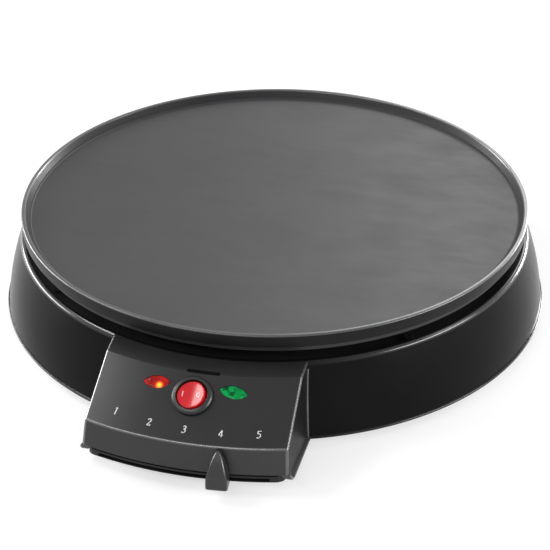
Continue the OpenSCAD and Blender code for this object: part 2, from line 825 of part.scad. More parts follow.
lip_r = front_r - 0.6;
lip_gap = 0.4;
lip_groove = 1.4;
lip_bevel_in = 4.3;
lip_bevel_h = 1.2;
lip_round = 6;
foot_angle = 45;
clamp_y = edge_r - 32;
clamp_x = 10;
clamp_boss_d = 7;
clamp_over = 3;
clamp_boss_z = inlet_z - cord_bore / 2 - 1;
block_y = clamp_y - 26;

// Ribs on the cover's inside, and the rings of vent slots
rib_ring_r = 0.6 * plate_r;
rib_t = 1.6;
rib_h = 3;
rib_l = 0.2 * plate_r;
ribs = 12;
vent_rings = [0.26 * plate_r, 0.425 * plate_r];
vent_slot_len = 0.1 * plate_r;

module base_cover() {
  slot_half = scale_half + 1.55;
  lip_top = front_z - lip_groove;
  color("#262628") difference() {
    union() {
      translate([0, 0, edge_z]) cylinder(r = cover_r, h = cover_t);
      // tongue that closes the control box, with its upright lip
      intersection() {
        rotate_extrude() polygon([
          [0, edge_z], [lip_r - lip_bevel_in, edge_z], [lip_r, edge_z + lip_bevel_h], [lip_r, lip_top],
          [lip_r - wall, lip_top], [lip_r - wall, floor_z], [0, floor_z]
        ]);
        union() {
          translate([-window_w / 2 + cover_gap, -edge_r - 6, edge_z])
            cube([window_w - 2 * cover_gap, 60, cover_t]);
          lip_block();
        }
      }
      // stiffening ribs
      ring(rib_ring_r, rib_ring_r - rib_t, floor_z - eps, floor_z + rib_h);
      around(ribs, rib_ring_r + rib_l / 2 - 1, floor_z - eps, 180 / ribs) box(rib_t, rib_l, rib_h + eps);
      for (s = [-1, 1]) translate([s * clamp_x, clamp_y, edge_z])
        cylinder(d = clamp_boss_d, h = clamp_boss_z - edge_z);
      translate([0, clamp_y, edge_z]) box(2 * clamp_x, clamp_boss_d - 1, clamp_boss_z - edge_z);
    }
    // slot for the lever's arm
    rotate([0, 0, -90 - slot_half]) rotate_extrude(angle = 2 * slot_half)
      translate([slot_in_r, slot_z0]) square([lip_r + 1 - slot_in_r, slot_h]);
    around(cover_screws_n, cover_screw_r, edge_z - eps, 30)
      cylinder(d = small_screw_d + 0.4, h = cover_t + 2 * eps);
    for (s = [-1, 1]) at(s * box_screw_angle, box_screw_r, edge_z - eps)
      cylinder(d = small_screw_d + 0.4, h = cover_t + 2 * eps);
    around(4, foot_pcd / 2, edge_z - eps, foot_angle) cylinder(d = foot_stem_d, h = cover_t + 2 * eps);
    for (ring_r = vent_rings) around(vents, ring_r, edge_z - eps, 180 / vents)
      box(vent_slot_w, vent_slot_len, cover_t + 2 * eps);
    for (s = [-1, 1]) translate([s * clamp_x, clamp_y, clamp_boss_z - 8]) cylinder(d = pilot_d, h = 8 + eps);
  }
}

// Outline of the lip, with its front corners rounded
module lip_block() {
  half = half_width(front_z, wall + lip_gap);
  corner_x = half - lip_round;
  lip_y = sqrt(pow(lip_r - lip_round, 2) - pow(corner_x, 2));
  corner = [for (a = [0, 30, 60]) [corner_x, lip_y] + lip_round * [cos(a), sin(a)]];
  front = [[corner_x - 1, lip_y + lip_round + 0.6], [corner_x - 12, lip_r + 4]];
  right = concat([[half, edge_r + 2]], corner, front);
  translate([0, 0, edge_z - eps]) linear_extrude(lip_h + 2 * eps)
    polygon(concat([for (p = right) [p[0], -p[1]]], reversed([for (p = right) [-p[0], -p[1]]])));
}

module cover_screws() {
  color("silver") around(cover_screws_n, cover_screw_r, edge_z - small_head_h, 30)
    screw(small_screw_d, small_head_d, small_head_h, cover_screw_l);
}

foot_stem_d = 6;
module rubber_feet() {
  color("#1c1c1c") around(4, foot_pcd / 2, 0, foot_angle) {
    cylinder(d = foot_d, h = foot_h);
    cylinder(d = foot_stem_d, h = foot_h + cover_t + 1);
    translate([0, 0, foot_h + cover_t]) cylinder(d1 = foot_stem_d + 3, d2 = foot_stem_d, h = 3);
  }
}

module cord_inlet() {
  flange_t = 2;
  color("#1c1c1c") inlet_axis(inlet_pad_y + flange_t) difference() {
    union() {
      cylinder(d = inlet_pad_d - 4, h = flange_t);
      cylinder(d = inlet_hole_d, h = flange_t + 12);
    }
    translate([0, 0, -eps]) cylinder(d = cord_bore, h = flange_t + 12 + 2 * eps);
  }
}

module cord_clamp() {
  color("#e6e2d6") difference() {
    translate([0, clamp_y, clamp_boss_z])
      box(2 * clamp_x + clamp_boss_d + 1, clamp_boss_d, cord_bore + clamp_over);
    translate([0, clamp_y + clamp_boss_d, inlet_z]) rotate([90, 0, 0])
      cylinder(d = cord_bore, h = 2 * clamp_boss_d);
    for (s = [-1, 1]) translate([s * clamp_x, clamp_y, clamp_boss_z - eps])
      cylinder(d = small_screw_d + 0.4, h = cord_bore + clamp_over + 2 * eps);
  }
}

module cord_clamp_screws() {
  clamp_top = clamp_boss_z + cord_bore + clamp_over;
  color("silver") for (s = [-1, 1]) translate([s * clamp_x, clamp_y, clamp_top + small_head_h])
    rotate([180, 0, 0]) screw(small_screw_d, small_head_d, small_head_h, cord_bore + clamp_over + 6);
}

block_l = 36;
block_w = 16;
block_h = 14;
port_h = 7;
port_x = 11;
port_y = block_y - block_w / 2 + 4;
module terminal_block() {
  color("#e6e2d6") translate([0, block_y, floor_z]) difference() {
    box(block_l, block_w, block_h);
    for (x = [-port_x, 0, port_x]) translate([x, 0, 0]) {
      translate([0, block_w, port_h]) rotate([90, 0, 0]) cylinder(d = lead_d + 0.2, h = 2 * block_w);
      translate([0, 4, port_h + 1]) cylinder(d = 4, h = block_h);
    }
  }
}

// ---- Thermal fuse ----

fuse_angle = 180;
fuse_r = 80;
fuse_d = 4.4;
fuse_l = 18;
fuse_screw_in = 10;
fuse_screw_l = 3;
fuse_lead_x = fuse_l / 2 + 7;
strap_t = 1.2;
module fuse_place() { at(fuse_angle, fuse_r, under_z) children(); }
module fuse_body(l) {
  translate([-l / 2, 0, -fuse_d / 2]) rotate([0, 90, 0]) cylinder(d = fuse_d, h = l);
}

module thermal_fuse() { color("#d8d4c8") fuse_place() fuse_body(fuse_l); }

module fuse_clamp() {
  color("#b9bcc0") fuse_place() difference() {
    union() {
      translate([0, 0, -fuse_d - strap_t]) box(8, fuse_d + 2 * strap_t, fuse_d + strap_t);
      translate([0, fuse_screw_in / 2 + 2, -strap_t]) box(8, fuse_screw_in + 4, strap_t);
    }
    fuse_body(fuse_l + 2);
    translate([0, 0, -fuse_d / 2]) box(fuse_l + 2, fuse_d, fuse_d);
    translate([0, fuse_screw_in, -strap_t - eps]) cylinder(d = small_screw_d, h = strap_t + 2 * eps);
  }
}

// ---- Wiring ----

lead_d = 2.4;
crimp_l = 4;
lead_z = floor_z + 3 + lead_d / 2 + 0.2;
port_z = floor_z + port_h;
tab_end_z = element_z - cold_end_l - 2 - tab_l;
// The place this far behind the panel on the switch's axis, and x to the side of it
function behind_switch(x, d) = [
  x, -ledge_r - switch_down + d * sin(panel_slope), panel_height(switch_down) - d * cos(panel_slope)
];
module element_crimp(s) {
  at(s * element_end, element_r, tab_end_z - crimp_l) box(tab_w + 1, 2.6, crimp_l);
}
module switch_crimp(x) {
  switch_frame() translate([x, 0, -switch_depth - switch_tab_l - crimp_l]) box(2.6, tab_w, crimp_l);
}

// A place on a lead's way, as shares of the plate's radius and of the housing's height
function way(x, y, z) = [x * plate_r, y * plate_r, z * top_z];
lead_low = lead_z / top_z;
port_run = 10;

// Live from the terminal block to the switch, and neutral from it to the element
module supply_leads() {
  switch_end = behind_switch(-6, switch_depth + switch_tab_l + crimp_l - 1);
  element_side = spot(element_end, element_r, tab_end_z - crimp_l + 1);
  color("#7a4a2a") {
    wire([
      [-port_x, port_y, port_z], [-port_x, port_y - port_run, port_z], way(-0.12, 0.5, lead_low),
      way(-0.44, 0.38, lead_low), way(-0.6, -0.31, lead_low), way(-0.38, -0.81, 0.49),
      way(-0.25, -0.94, 0.49), switch_end
    ], lead_d);
    switch_crimp(-6);
  }
  color("#2f5f9a") {
    wire([
      [0, port_y, port_z], [0, port_y - port_run, port_z], way(0.05, 0.5, lead_low),
      way(0.38, 0.31, lead_low), way(0.47, -0.31, lead_low), way(0.35, -0.6, 0.41), element_side
    ], lead_d);
    element_crimp(1);
  }
}

// From the switch to the thermostat, on to the fuse, and down to the element
fuse_run = 20;
fuse_bow = 6;
module element_leads() {
  switch_end = behind_switch(0, switch_depth + switch_tab_l + crimp_l - 1);
  blade_z = body_z + blade_up + tab_t / 2;
  blade_y = body_w / 2 + tab_l;
  fuse_z = under_z - fuse_d / 2;
  element_side = spot(-element_end, element_r, tab_end_z - crimp_l + 1);
  color("#e8e4da") {
    wire([
      switch_end, way(-0.075, -0.94, 0.56), way(-0.14, -0.375, 0.64), way(-0.15, 0.04, 0.68),
      [-blade_x - 3, blade_y + blade_run + 3, blade_z - 7], [-blade_x, blade_y + blade_run, blade_z],
      [-blade_x, blade_y, blade_z]
    ], lead_d);
    switch_crimp(0);
    wire([
      [blade_x, blade_y, blade_z], [blade_x, blade_y + blade_run, blade_z],
      [fuse_lead_x, fuse_r - fuse_run, fuse_z - 1], [fuse_lead_x, fuse_r, fuse_z], [fuse_l / 2, fuse_r, fuse_z]
    ], lead_d);
    wire([
      [-fuse_l / 2, fuse_r, fuse_z], [-fuse_lead_x, fuse_r, fuse_z],
      [-fuse_lead_x - fuse_bow, fuse_r - fuse_run, fuse_z - 3], way(-0.144, 0.1, 0.94),
      way(-0.2125, -0.125, 0.68), way(-0.2125, -0.5, 0.49), element_side
    ], lead_d);
    element_crimp(-1);
  }
}

// From the terminal block to a ring tag under the heat shield
module earth_lead() {
  tag_y = 0.575 * plate_r;
  tag_x = 0.25 * plate_r;
  color("#6f9a34") {
    wire([
      [port_x, port_y, port_z], [port_x, port_y - port_run, port_z], [tag_x, tag_y + port_run, pan_z - 4],
      [tag_x, tag_y, pan_z - lead_d / 2]
    ], lead_d);
    translate([tag_x, tag_y, pan_z - lead_d]) cylinder(d = 7, h = lead_d);
  }
}

hotplate();
heating_element();
element_terminals();
heat_shield();
shield_screws();
plate_spacers();
plate_screws();
thermostat_bracket();
thermostat_body();
thermostat_contacts();
underplate_screws();
thermal_fuse();
fuse_clamp();
thermostat_spindle();
lever_arm();
lever_clip();
lever_knob();
base_housing();
control_box();
box_screws();
switch_body();
power_rocker();
switch_terminals();
power_lens();
ready_lens();
power_lamp();
ready_lamp();
lamp_holders();
base_cover();
cover_screws();
rubber_feet();
cord_inlet();
cord_clamp();
cord_clamp_screws();
terminal_block();
supply_leads();
element_leads();
earth_lead();
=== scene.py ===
"""The looks of the electric crepe maker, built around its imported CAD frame. Runs in Blender 4.5."""

import json
import math

import bmesh
import bpy
from mathutils import Matrix, Vector

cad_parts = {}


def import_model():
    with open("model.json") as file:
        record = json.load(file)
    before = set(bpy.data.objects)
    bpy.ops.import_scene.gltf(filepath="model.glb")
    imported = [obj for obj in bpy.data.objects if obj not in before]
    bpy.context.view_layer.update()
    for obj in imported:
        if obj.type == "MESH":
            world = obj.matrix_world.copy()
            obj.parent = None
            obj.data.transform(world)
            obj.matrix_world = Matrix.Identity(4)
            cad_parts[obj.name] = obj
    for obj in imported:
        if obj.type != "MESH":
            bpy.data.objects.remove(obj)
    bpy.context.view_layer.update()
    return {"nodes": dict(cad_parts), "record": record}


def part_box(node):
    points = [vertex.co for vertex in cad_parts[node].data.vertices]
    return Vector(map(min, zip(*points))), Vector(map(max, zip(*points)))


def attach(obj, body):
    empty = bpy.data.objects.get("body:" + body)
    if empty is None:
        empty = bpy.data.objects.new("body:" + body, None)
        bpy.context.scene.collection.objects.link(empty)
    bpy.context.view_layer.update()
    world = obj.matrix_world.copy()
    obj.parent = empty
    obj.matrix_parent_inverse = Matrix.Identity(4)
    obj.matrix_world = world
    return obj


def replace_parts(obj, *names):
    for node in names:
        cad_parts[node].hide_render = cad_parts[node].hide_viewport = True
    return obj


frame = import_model()
scene = bpy.context.scene
scene.view_settings.view_transform = "Standard"

MM = 0.001
TURN = 2 * math.pi

# ---- Sizes, in millimetres, taken from the frame where it has them ----


def low(node):
    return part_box(node)[0] / MM


def high(node):
    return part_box(node)[1] / MM


plate_r = high("hotplate").x
plate_z = high("hotplate").z
rim_h = 5.0
rim_w = 2.5
rim_lean = 3.0
rim_round = 0.9
plate_t = 5.0
wall_h = 8.3
wall_lean = 0.3
skirt_h = 4.0
skirt_in = 3.0
skirt_t = 2.5
skirt_slant = 2
cook_z = plate_z - rim_h
under_z = cook_z - plate_t
cook_r = plate_r - rim_w - rim_lean

edge_z = low("base_housing").z
top_z = high("base_housing").z
bead_out = 1.0
bead_h = 1.5
bead_slant = 0.4
side_bead_out = 1.8
edge_r = high("base_housing").x - bead_out
plate_gap = 1.6
shoulder_r = plate_r + plate_gap
shoulder_round = 2.8
crest_w = 0.6
flank_bulge = 1.5
flank_lean = math.radians(12)
wall = 2.4
well_r = shoulder_r - shoulder_round - crest_w
seat_w = 13
seat_down = 4.2
seat_r = well_r - seat_w
seat_z = top_z - seat_down
window_half = 47
window_deep = 30
window_h = 31.7
inlet_up = 15
inlet_r = 6.5
pad_r = 12
pad_l = 9
pad_out = 0.4

box_w = 116.0
box_draft = math.radians(3.5)
ledge_w = 11.7
ledge_fall = 1.6
ledge_down = 2.2
ledge_r = shoulder_r + ledge_w
ledge_z = top_z - ledge_down
ledge_slope = ledge_fall / ledge_w
panel_w = 36.9
panel_r = ledge_r + panel_w
front_out = 3.7
front_r = panel_r + front_out
front_up = 6.5
front_z = edge_z + front_up
front_h = 15.0
panel_z = front_z + front_h
panel_slope = math.atan((ledge_z - panel_z) / panel_w)
switch_down = 12.5
lens_down = 8.3
lens_angle = math.radians(7.1)
lens_tilt = math.radians(9)
vent_angle = math.radians(0.9)


# ---- Mesh helpers ----

# Degrees, then metres.
CREASE = 30
SAME_PLACE = 1e-7
SAME_EDGE = 1e-5


def placed(name, data):
    """A new object in the scene."""
    obj = bpy.data.objects.new(name, data)
    scene.collection.objects.link(obj)
    return obj


def wear(obj, *materials):
    """Adds the materials to an object."""
    for material in materials:
        obj.data.materials.append(material)


def mesh_object(name, verts, faces, crease=CREASE):
    """A new object from points in millimetres, smooth up to edges of crease degrees."""
    mesh = bpy.data.meshes.new(name)
    mesh.from_pydata([Vector(v) * MM for v in verts], [], faces)
    tidy(mesh, crease)
    return placed(name, mesh)


def tidy(mesh, crease):
    """Merges doubles, turns the faces outwards and shades the mesh smooth up to the crease."""
    bm = bmesh.new()
    bm.from_mesh(mesh)
    bmesh.ops.remove_doubles(bm, verts=bm.verts, dist=SAME_PLACE)
    bmesh.ops.recalc_face_normals(bm, faces=bm.faces)
    bm.to_mesh(mesh)
    bm.free()
    mesh.polygons.foreach_set("use_smooth", [True] * len(mesh.polygons))
    mesh.set_sharp_from_angle(angle=math.radians(crease))


def bake_modifiers(obj):
    """Replaces an object's mesh by what its modifiers make of it."""
    shown = obj.evaluated_get(bpy.context.evaluated_depsgraph_get())
    mesh = bpy.data.meshes.new_from_object(shown)
    obj.modifiers.clear()
    obj.data = mesh
    tidy(mesh, CREASE)


def cut(obj, *cutters):
    """Takes the cutters away from obj and deletes them."""
    for tool in cutters:
        boolean = obj.modifiers.new("cut", "BOOLEAN")
        boolean.operation = "DIFFERENCE"
        boolean.solver = "EXACT"
        boolean.object = tool
        bake_modifiers(obj)
        bpy.data.objects.remove(tool)


def join(name, objects, crease=CREASE):
    """One object from several."""
    bm = bmesh.new()
    for obj in objects:
        mesh = obj.data
        mesh.transform(obj.matrix_world)
        bm.from_mesh(mesh)
        bpy.data.objects.remove(obj)
    mesh = bpy.data.meshes.new(name)
    bm.to_mesh(mesh)
    bm.free()
    tidy(mesh, crease)
    return placed(name, mesh)


def moved(matrix, points):
    """The points, carried by the matrix."""
    return [matrix @ Vector(p) for p in points]


def rounded(corners, closed=True, steps=5):
    """The outline through corners (x, y, radius), each rounded to its radius."""
    out = []
    for i, (x, y, radius) in enumerate(corners):
        at_end = not closed and i in (0, len(corners) - 1)
        if radius == 0 or at_end:
            out.append((x, y))
            continue
        p = Vector((x, y))
        before = (Vector(corners[i - 1][:2]) - p).normalized()
        after = (Vector(corners[(i + 1) % len(corners)][:2]) - p).normalized()
        half = before.angle(after) / 2
        centre = p + (before + after).normalized() * radius / math.sin(half)
        start = (p + before * radius / math.tan(half) - centre).normalized()
        end = (p + after * radius / math.tan(half) - centre).normalized()
        for k in range(steps + 1):
            # The slerp of two flat vectors comes back with unit length.
            q = centre + start.slerp(end, k / steps).normalized() * radius
            out.append((q.x, q.y))
    return out


def lathe(profile, closed, segments=256):
    """Points and faces of a profile of (radius, height) turned about Z."""
    verts, rings, faces = [], [], []
    for r, z in profile:
        if r < SAME_PLACE / MM:
            rings.append([len(verts)] * segments)
            verts.append((0, 0, z))
            continue
        rings.append(range(len(verts), len(verts) + segments))
        verts += [
            (r * math.sin(TURN * k / segments), -r * math.cos(TURN * k / segments), z)
            for k in range(segments)
        ]
    following = rings[1:] + rings[:1] if closed else rings[1:]
    for a, b in zip(rings, following):
        for k in range(segments):
            n = (k + 1) % segments
            face = list(dict.fromkeys([a[k], a[n], b[n], b[k]]))
            if len(face) > 2:
                faces.append(face)
    return verts, faces


def prism(outline, z0, z1):
    """Points and faces of an outline of (x, y), from height z0 to z1."""
    n = len(outline)
    verts = [(x, y, z0) for x, y in outline] + [(x, y, z1) for x, y in outline]
    faces = [list(range(n)), list(range(n, 2 * n))]
    faces += [[k, (k + 1) % n, n + (k + 1) % n, n + k] for k in range(n)]
    return verts, faces


def wrapped(rings, n, start=0):
    """The faces between so many rings of n points each, the first of them at point start."""
    faces = []
    for i in range(rings - 1):
        for k in range(n):
            a, b = start + i * n + k, start + i * n + (k + 1) % n
            faces.append([a, b, b + n, a + n])
    return faces


def capped(rings, n):
    """The same, with a face over the first and the last ring."""
    last = (rings - 1) * n
    return wrapped(rings, n) + [list(range(n)), list(range(last, last + n))]


def cutter(matrix, outline, z0, z1):
    """A prism for cut(), carried by the matrix."""
    verts, faces = prism(outline, z0, z1)
    return mesh_object("cutter", moved(matrix, verts), faces)


def circle(r, n=96):
    """The points (x, y) of a circle."""
    return [(r * math.cos(TURN * k / n), r * math.sin(TURN * k / n)) for k in range(n)]


# ---- Places on the object ----


def at(angle, r, z):
    """The place at this angle from the front, this far from the axis."""
    return Matrix.Rotation(angle, 4, "Z") @ Matrix.Translation((0, -r, z))


def on_panel(angle, down):
    """The place on the sloping panel this far below its upper edge, with Z out of the panel."""
    height = ledge_z - down * math.tan(panel_slope)
    return at(angle, ledge_r + down, height) @ Matrix.Rotation(panel_slope, 4, "X")


def half_width(z, inward=0.0):
    """Half the box's width at a height, this far inside its skin."""
    return box_w / 2 - inward + (ledge_z - z) * math.tan(box_draft)


# ---- Materials ----


class Nodes:
    """A short way to write a material's nodes."""

    def __init__(self, name):
        self.material = bpy.data.materials.new(name)
        self.material.use_nodes = True
        self.tree = self.material.node_tree
        self.tree.nodes.clear()
        self.output = self.new("ShaderNodeOutputMaterial")
        self.place = self.new("ShaderNodeTexCoord").outputs["Object"]

    def new(self, kind, **values):
        node = self.tree.nodes.new(kind)
        for key, value in values.items():
            setattr(node, key, value)
        return node

    def link(self, source, target):
        self.tree.links.new(source, target)

    def noise(self, scale, detail=3.0, roughness=0.5, place=None):
        node = self.new("ShaderNodeTexNoise")
        node.inputs["Scale"].default_value = scale
        node.inputs["Detail"].default_value = detail
        node.inputs["Roughness"].default_value = roughness
        self.link(place or self.place, node.inputs["Vector"])
        return node.outputs["Fac"]

    def stretched(self, scale):
        """The place on the object, scaled along each axis."""
        node = self.new("ShaderNodeMapping")
        node.inputs["Scale"].default_value = scale
        self.link(self.place, node.inputs["Vector"])
        return node.outputs["Vector"]

    def ramp(self, source, stops, interpolation="LINEAR"):
        """A colour ramp through stops of (place, grey or colour)."""
        node = self.new("ShaderNodeValToRGB")
        node.color_ramp.interpolation = interpolation
        elements = node.color_ramp.elements
        while len(elements) < len(stops):
            elements.new(0.5)
        for element, (place, value) in zip(elements, stops):
            colour = (value, value, value) if isinstance(value, float) else value
            element.position = place
            element.color = (*colour, 1)
        self.link(source, node.inputs["Fac"])
        return node.outputs["Color"]

    def scaled(self, source, low_value, high_value, start=0.3, end=0.7):
        """The span from start to end of a source, turned into the span of the two values."""
        node = self.new("ShaderNodeMapRange")
        node.inputs["From Min"].default_value = start
        node.inputs["From Max"].default_value = end
        node.inputs["To Min"].default_value = low_value
        node.inputs["To Max"].default_value = high_value
        self.link(source, node.inputs["Value"])
        return node.outputs["Result"]

    def mix(self, factor, a, b):
        """A mix of colours by a factor; the factor is a socket, each colour is one or a value."""
        node = self.new("ShaderNodeMix", data_type="RGBA")
        for socket, value in (("Factor", factor), ("A", a), ("B", b)):
            target = [s for s in node.inputs if s.name == socket and s.enabled][0]
            if isinstance(value, bpy.types.NodeSocket):
                self.link(value, target)
            else:
                target.default_value = (*value, 1)
        return [s for s in node.outputs if s.enabled][0]

    def math(self, operation, a, b):
        node = self.new("ShaderNodeMath", operation=operation)
        for socket, value in zip(node.inputs, (a, b)):
            if isinstance(value, bpy.types.NodeSocket):
                self.link(value, socket)
            else:
                socket.default_value = value
        return node.outputs[0]

    def bump(self, height, strength, distance, normal=None):
        node = self.new("ShaderNodeBump")
        node.inputs["Strength"].default_value = strength
        node.inputs["Distance"].default_value = distance
        self.link(height, node.inputs["Height"])
        if normal:
            self.link(normal, node.inputs["Normal"])
        return node.outputs["Normal"]

    def principled(self, colour, roughness=None, normal=None, **constants):
        """The shader, fed by sockets and by constants named after its inputs."""
        shader = self.new("ShaderNodeBsdfPrincipled")
        for name, source in (("Base Color", colour), ("Roughness", roughness), ("Normal", normal)):
            if source is not None:
                self.link(source, shader.inputs[name])
        for name, value in constants.items():
            shader.inputs[name.replace("_", " ")].default_value = value
        self.link(shader.outputs[0], self.output.inputs["Surface"])
        return shader


def moulded(name, dark, light, rough, grain=900.0, grain_depth=0.00002, gloss=0.3,
            bands=(), fade=None):
    """Moulded plastic: a fine grain, cloudy colour, faint waves and patches rubbed smoother."""
    n = Nodes(name)
    clouds = n.noise(14, 4, 0.6)
    colour = n.ramp(clouds, [(0.35, dark), (0.68, light)])
    rubbed = n.noise(33, 5, 0.65)
    roughness = n.scaled(rubbed, rough - 0.035, rough + 0.045)
    fine = n.noise(grain, 2, 0.5)
    waves = n.noise(9, 1, 0.4)
    normal = n.bump(fine, 0.22, grain_depth)
    normal = n.bump(waves, 0.1, 0.0008, normal)
    shader = n.principled(colour, roughness, normal, IOR=1.46, Specular_IOR_Level=gloss)
    if bands:
        burnished(shader, n, bands, fade)
    return n.material


def burnished(shader, n, bands, fade=None, faint=0.2):
    """Adds a clear gloss in bands of height, each in millimetres as (start, full, end, gone).

    With fade, four places along X in millimetres, the gloss is full up to the first, faint from the
    second to the third and full again from the fourth.
    """
    split = n.new("ShaderNodeSeparateXYZ")
    n.link(n.place, split.inputs[0])
    total = None
    for start, full, end, gone in bands:
        rise = n.scaled(split.outputs["Z"], 0.0, 1.0, start * MM, full * MM)
        fall = n.scaled(split.outputs["Z"], 1.0, 0.0, end * MM, gone * MM)
        band = n.math("MULTIPLY", rise, fall)
        total = band if total is None else n.math("MAXIMUM", total, band)
    if fade:
        left = n.scaled(split.outputs["X"], 1.0, faint, fade[0] * MM, fade[1] * MM)
        right = n.scaled(split.outputs["X"], faint, 1.0, fade[2] * MM, fade[3] * MM)
        total = n.math("MULTIPLY", total, n.math("MAXIMUM", left, right))
    patchy = n.scaled(n.noise(45, 3, 0.6), 0.8, 1.0)
    n.link(n.math("MULTIPLY", total, patchy), shader.inputs["Coat Weight"])
    shader.inputs["Coat Roughness"].default_value = 0.2


def coating(name, gloss=0.36, shade=1.0):
    """Satin non-stick coating: a fine orange peel, pale flecks and patches rubbed one way."""
    n = Nodes(name)
    clouds = n.noise(7, 4, 0.6)
    tones = ((0.021, 0.021, 0.0225), (0.031, 0.031, 0.033))
    # A shade below 1 darkens both tones: painted shade.
    dark, light = [tuple(shade * c for c in tone) for tone in tones]
    colour = n.ramp(clouds, [(0.3, dark), (0.72, light)])
    flecks = n.new("ShaderNodeTexVoronoi", feature="F1")
    flecks.inputs["Scale"].default_value = 620
    n.link(n.place, flecks.inputs["Vector"])
    fleck = n.ramp(flecks.outputs["Distance"], [(0.0, 1.0), (0.14, 0.0)], "EASE")
    colour = n.mix(n.math("MULTIPLY", fleck, 0.16), colour, (0.22, 0.22, 0.23))
    peel = n.noise(420, 3, 0.55)
    rubbed = n.noise(24, 5, 0.7, n.stretched((1, 2.4, 1)))
    roughness = n.scaled(rubbed, 0.36, 0.47)
    normal = n.bump(peel, 0.3, 0.00005)
    shader = n.principled(colour, roughness, normal, IOR=1.5, Specular_IOR_Level=gloss)
    burnished(shader, n, [(plate_z - 1.0, plate_z - 0.6, plate_z + 1, plate_z + 2)])
    return n.material


def metal(name, dark, light, rough, streak=(1, 1, 40)):
    """Drawn or plated metal with streaks along its grain and a few dull spots."""
    n = Nodes(name)
    streaks = n.noise(180, 4, 0.6, n.stretched(streak))
    dull = n.noise(55, 4, 0.6)
    colour = n.mix(n.ramp(dull, [(0.4, 0.0), (0.75, 1.0)]), light, dark)
    roughness = n.scaled(streaks, rough - 0.06, rough + 0.1)
    n.principled(colour, roughness, n.bump(streaks, 0.25, 0.00003), Metallic=1.0)
    return n.material


def matt(name, dark, light, rough, grain=700.0):
    """Rubber, ceramic or insulation: no gloss, a powdery grain."""
    n = Nodes(name)
    clouds = n.noise(60, 4, 0.6)
    colour = n.ramp(clouds, [(0.3, dark), (0.7, light)])
    fine = n.noise(grain, 3, 0.6)
    roughness = n.scaled(clouds, rough - 0.05, rough + 0.05)
    n.principled(colour, roughness, n.bump(fine, 0.35, 0.00006), IOR=1.45)
    return n.material


def lamp_glass():
    """The neon lamps' clear glass, a little warm."""
    n = Nodes("lamp_glass")
    colour = n.ramp(n.noise(200, 2), [(0.3, (0.95, 0.75, 0.55)), (0.7, (0.98, 0.9, 0.8))])
    n.principled(colour, n.scaled(n.noise(300, 2), 0.03, 0.1), Transmission_Weight=0.9, IOR=1.5)
    return n.material


def printed(name, colour):
    """Pad-printed ink, a little uneven."""
    n = Nodes(name)
    tone = n.ramp(n.noise(1500, 3), [(0.3, tuple(c * 0.86 for c in colour)), (0.6, colour)])
    n.principled(tone, n.scaled(n.noise(900, 2), 0.4, 0.55), IOR=1.45)
    return n.material


def red_rocker():
    """Glossy translucent red, with moulding clouds, hairline scratches and a faint painted glow of
    its own red, which no lamp gives.
    """
    n = Nodes("red_rocker")
    clouds = n.noise(160, 3, 0.5)
    colour = n.ramp(clouds, [(0.3, (0.48, 0.006, 0.012)), (0.7, (0.62, 0.012, 0.022))])
    scratches = n.noise(500, 2, 0.5, n.stretched((1, 14, 1)))
    roughness = n.scaled(scratches, 0.11, 0.19)
    normal = n.bump(n.noise(240, 2), 0.08, 0.00004)
    n.principled(
        colour, roughness, normal, IOR=1.5, Specular_IOR_Level=0.3,
        # A faint painted glow in the rocker's own red; no lamp lies behind it.
        Emission_Color=(0.8, 0.01, 0.015, 1), Emission_Strength=0.1,
    )
    return n.material


def lens_plastic(name, deep, bright, glow=None, reach=0.0062):
    """Clear coloured plastic over a faceted back; without a lamp behind it, it has a faint painted
    glow of its own colour.

    glow is (centre, core, rim, strength) of the lamp behind it, which shows as far as reach metres.
    """
    n = Nodes(name)
    facets = n.new("ShaderNodeTexVoronoi", feature="F1")
    facets.inputs["Scale"].default_value = 430
    n.link(n.place, facets.inputs["Vector"])
    tone = n.ramp(facets.outputs["Color"], [(0.15, deep), (0.85, bright)])
    cloud = n.noise(120, 2, 0.5)
    colour = n.mix(n.ramp(cloud, [(0.46, 0.0), (0.74, 1.0)]), tone, bright)
    normal = n.bump(facets.outputs["Distance"], 0.45, 0.0004)
    roughness = n.scaled(cloud, 0.1, 0.2)
    shader = n.principled(colour, roughness, normal, IOR=1.49, Specular_IOR_Level=0.1)
    # With no lamp given, the lens glows faintly in its own colour: a painted glow.
    if glow is None:
        n.link(colour, shader.inputs["Emission Color"])
        shader.inputs["Emission Strength"].default_value = 0.12
        return n.material
    centre, core, rim, strength = glow
    distance = n.new("ShaderNodeVectorMath", operation="DISTANCE")
    n.link(n.place, distance.inputs[0])
    distance.inputs[1].default_value = centre
    away = n.math("DIVIDE", distance.outputs["Value"], reach)
    halo = [(0.42, (0.2, 0.006, 0.005)), (1.0, (0.03, 0.001, 0.001))]
    hot = n.ramp(away, [(0.14, core), (0.26, rim)] + halo)
    n.link(hot, shader.inputs["Emission Color"])
    shader.inputs["Emission Strength"].default_value = strength
    return n.material


# ---- Hotplate ----


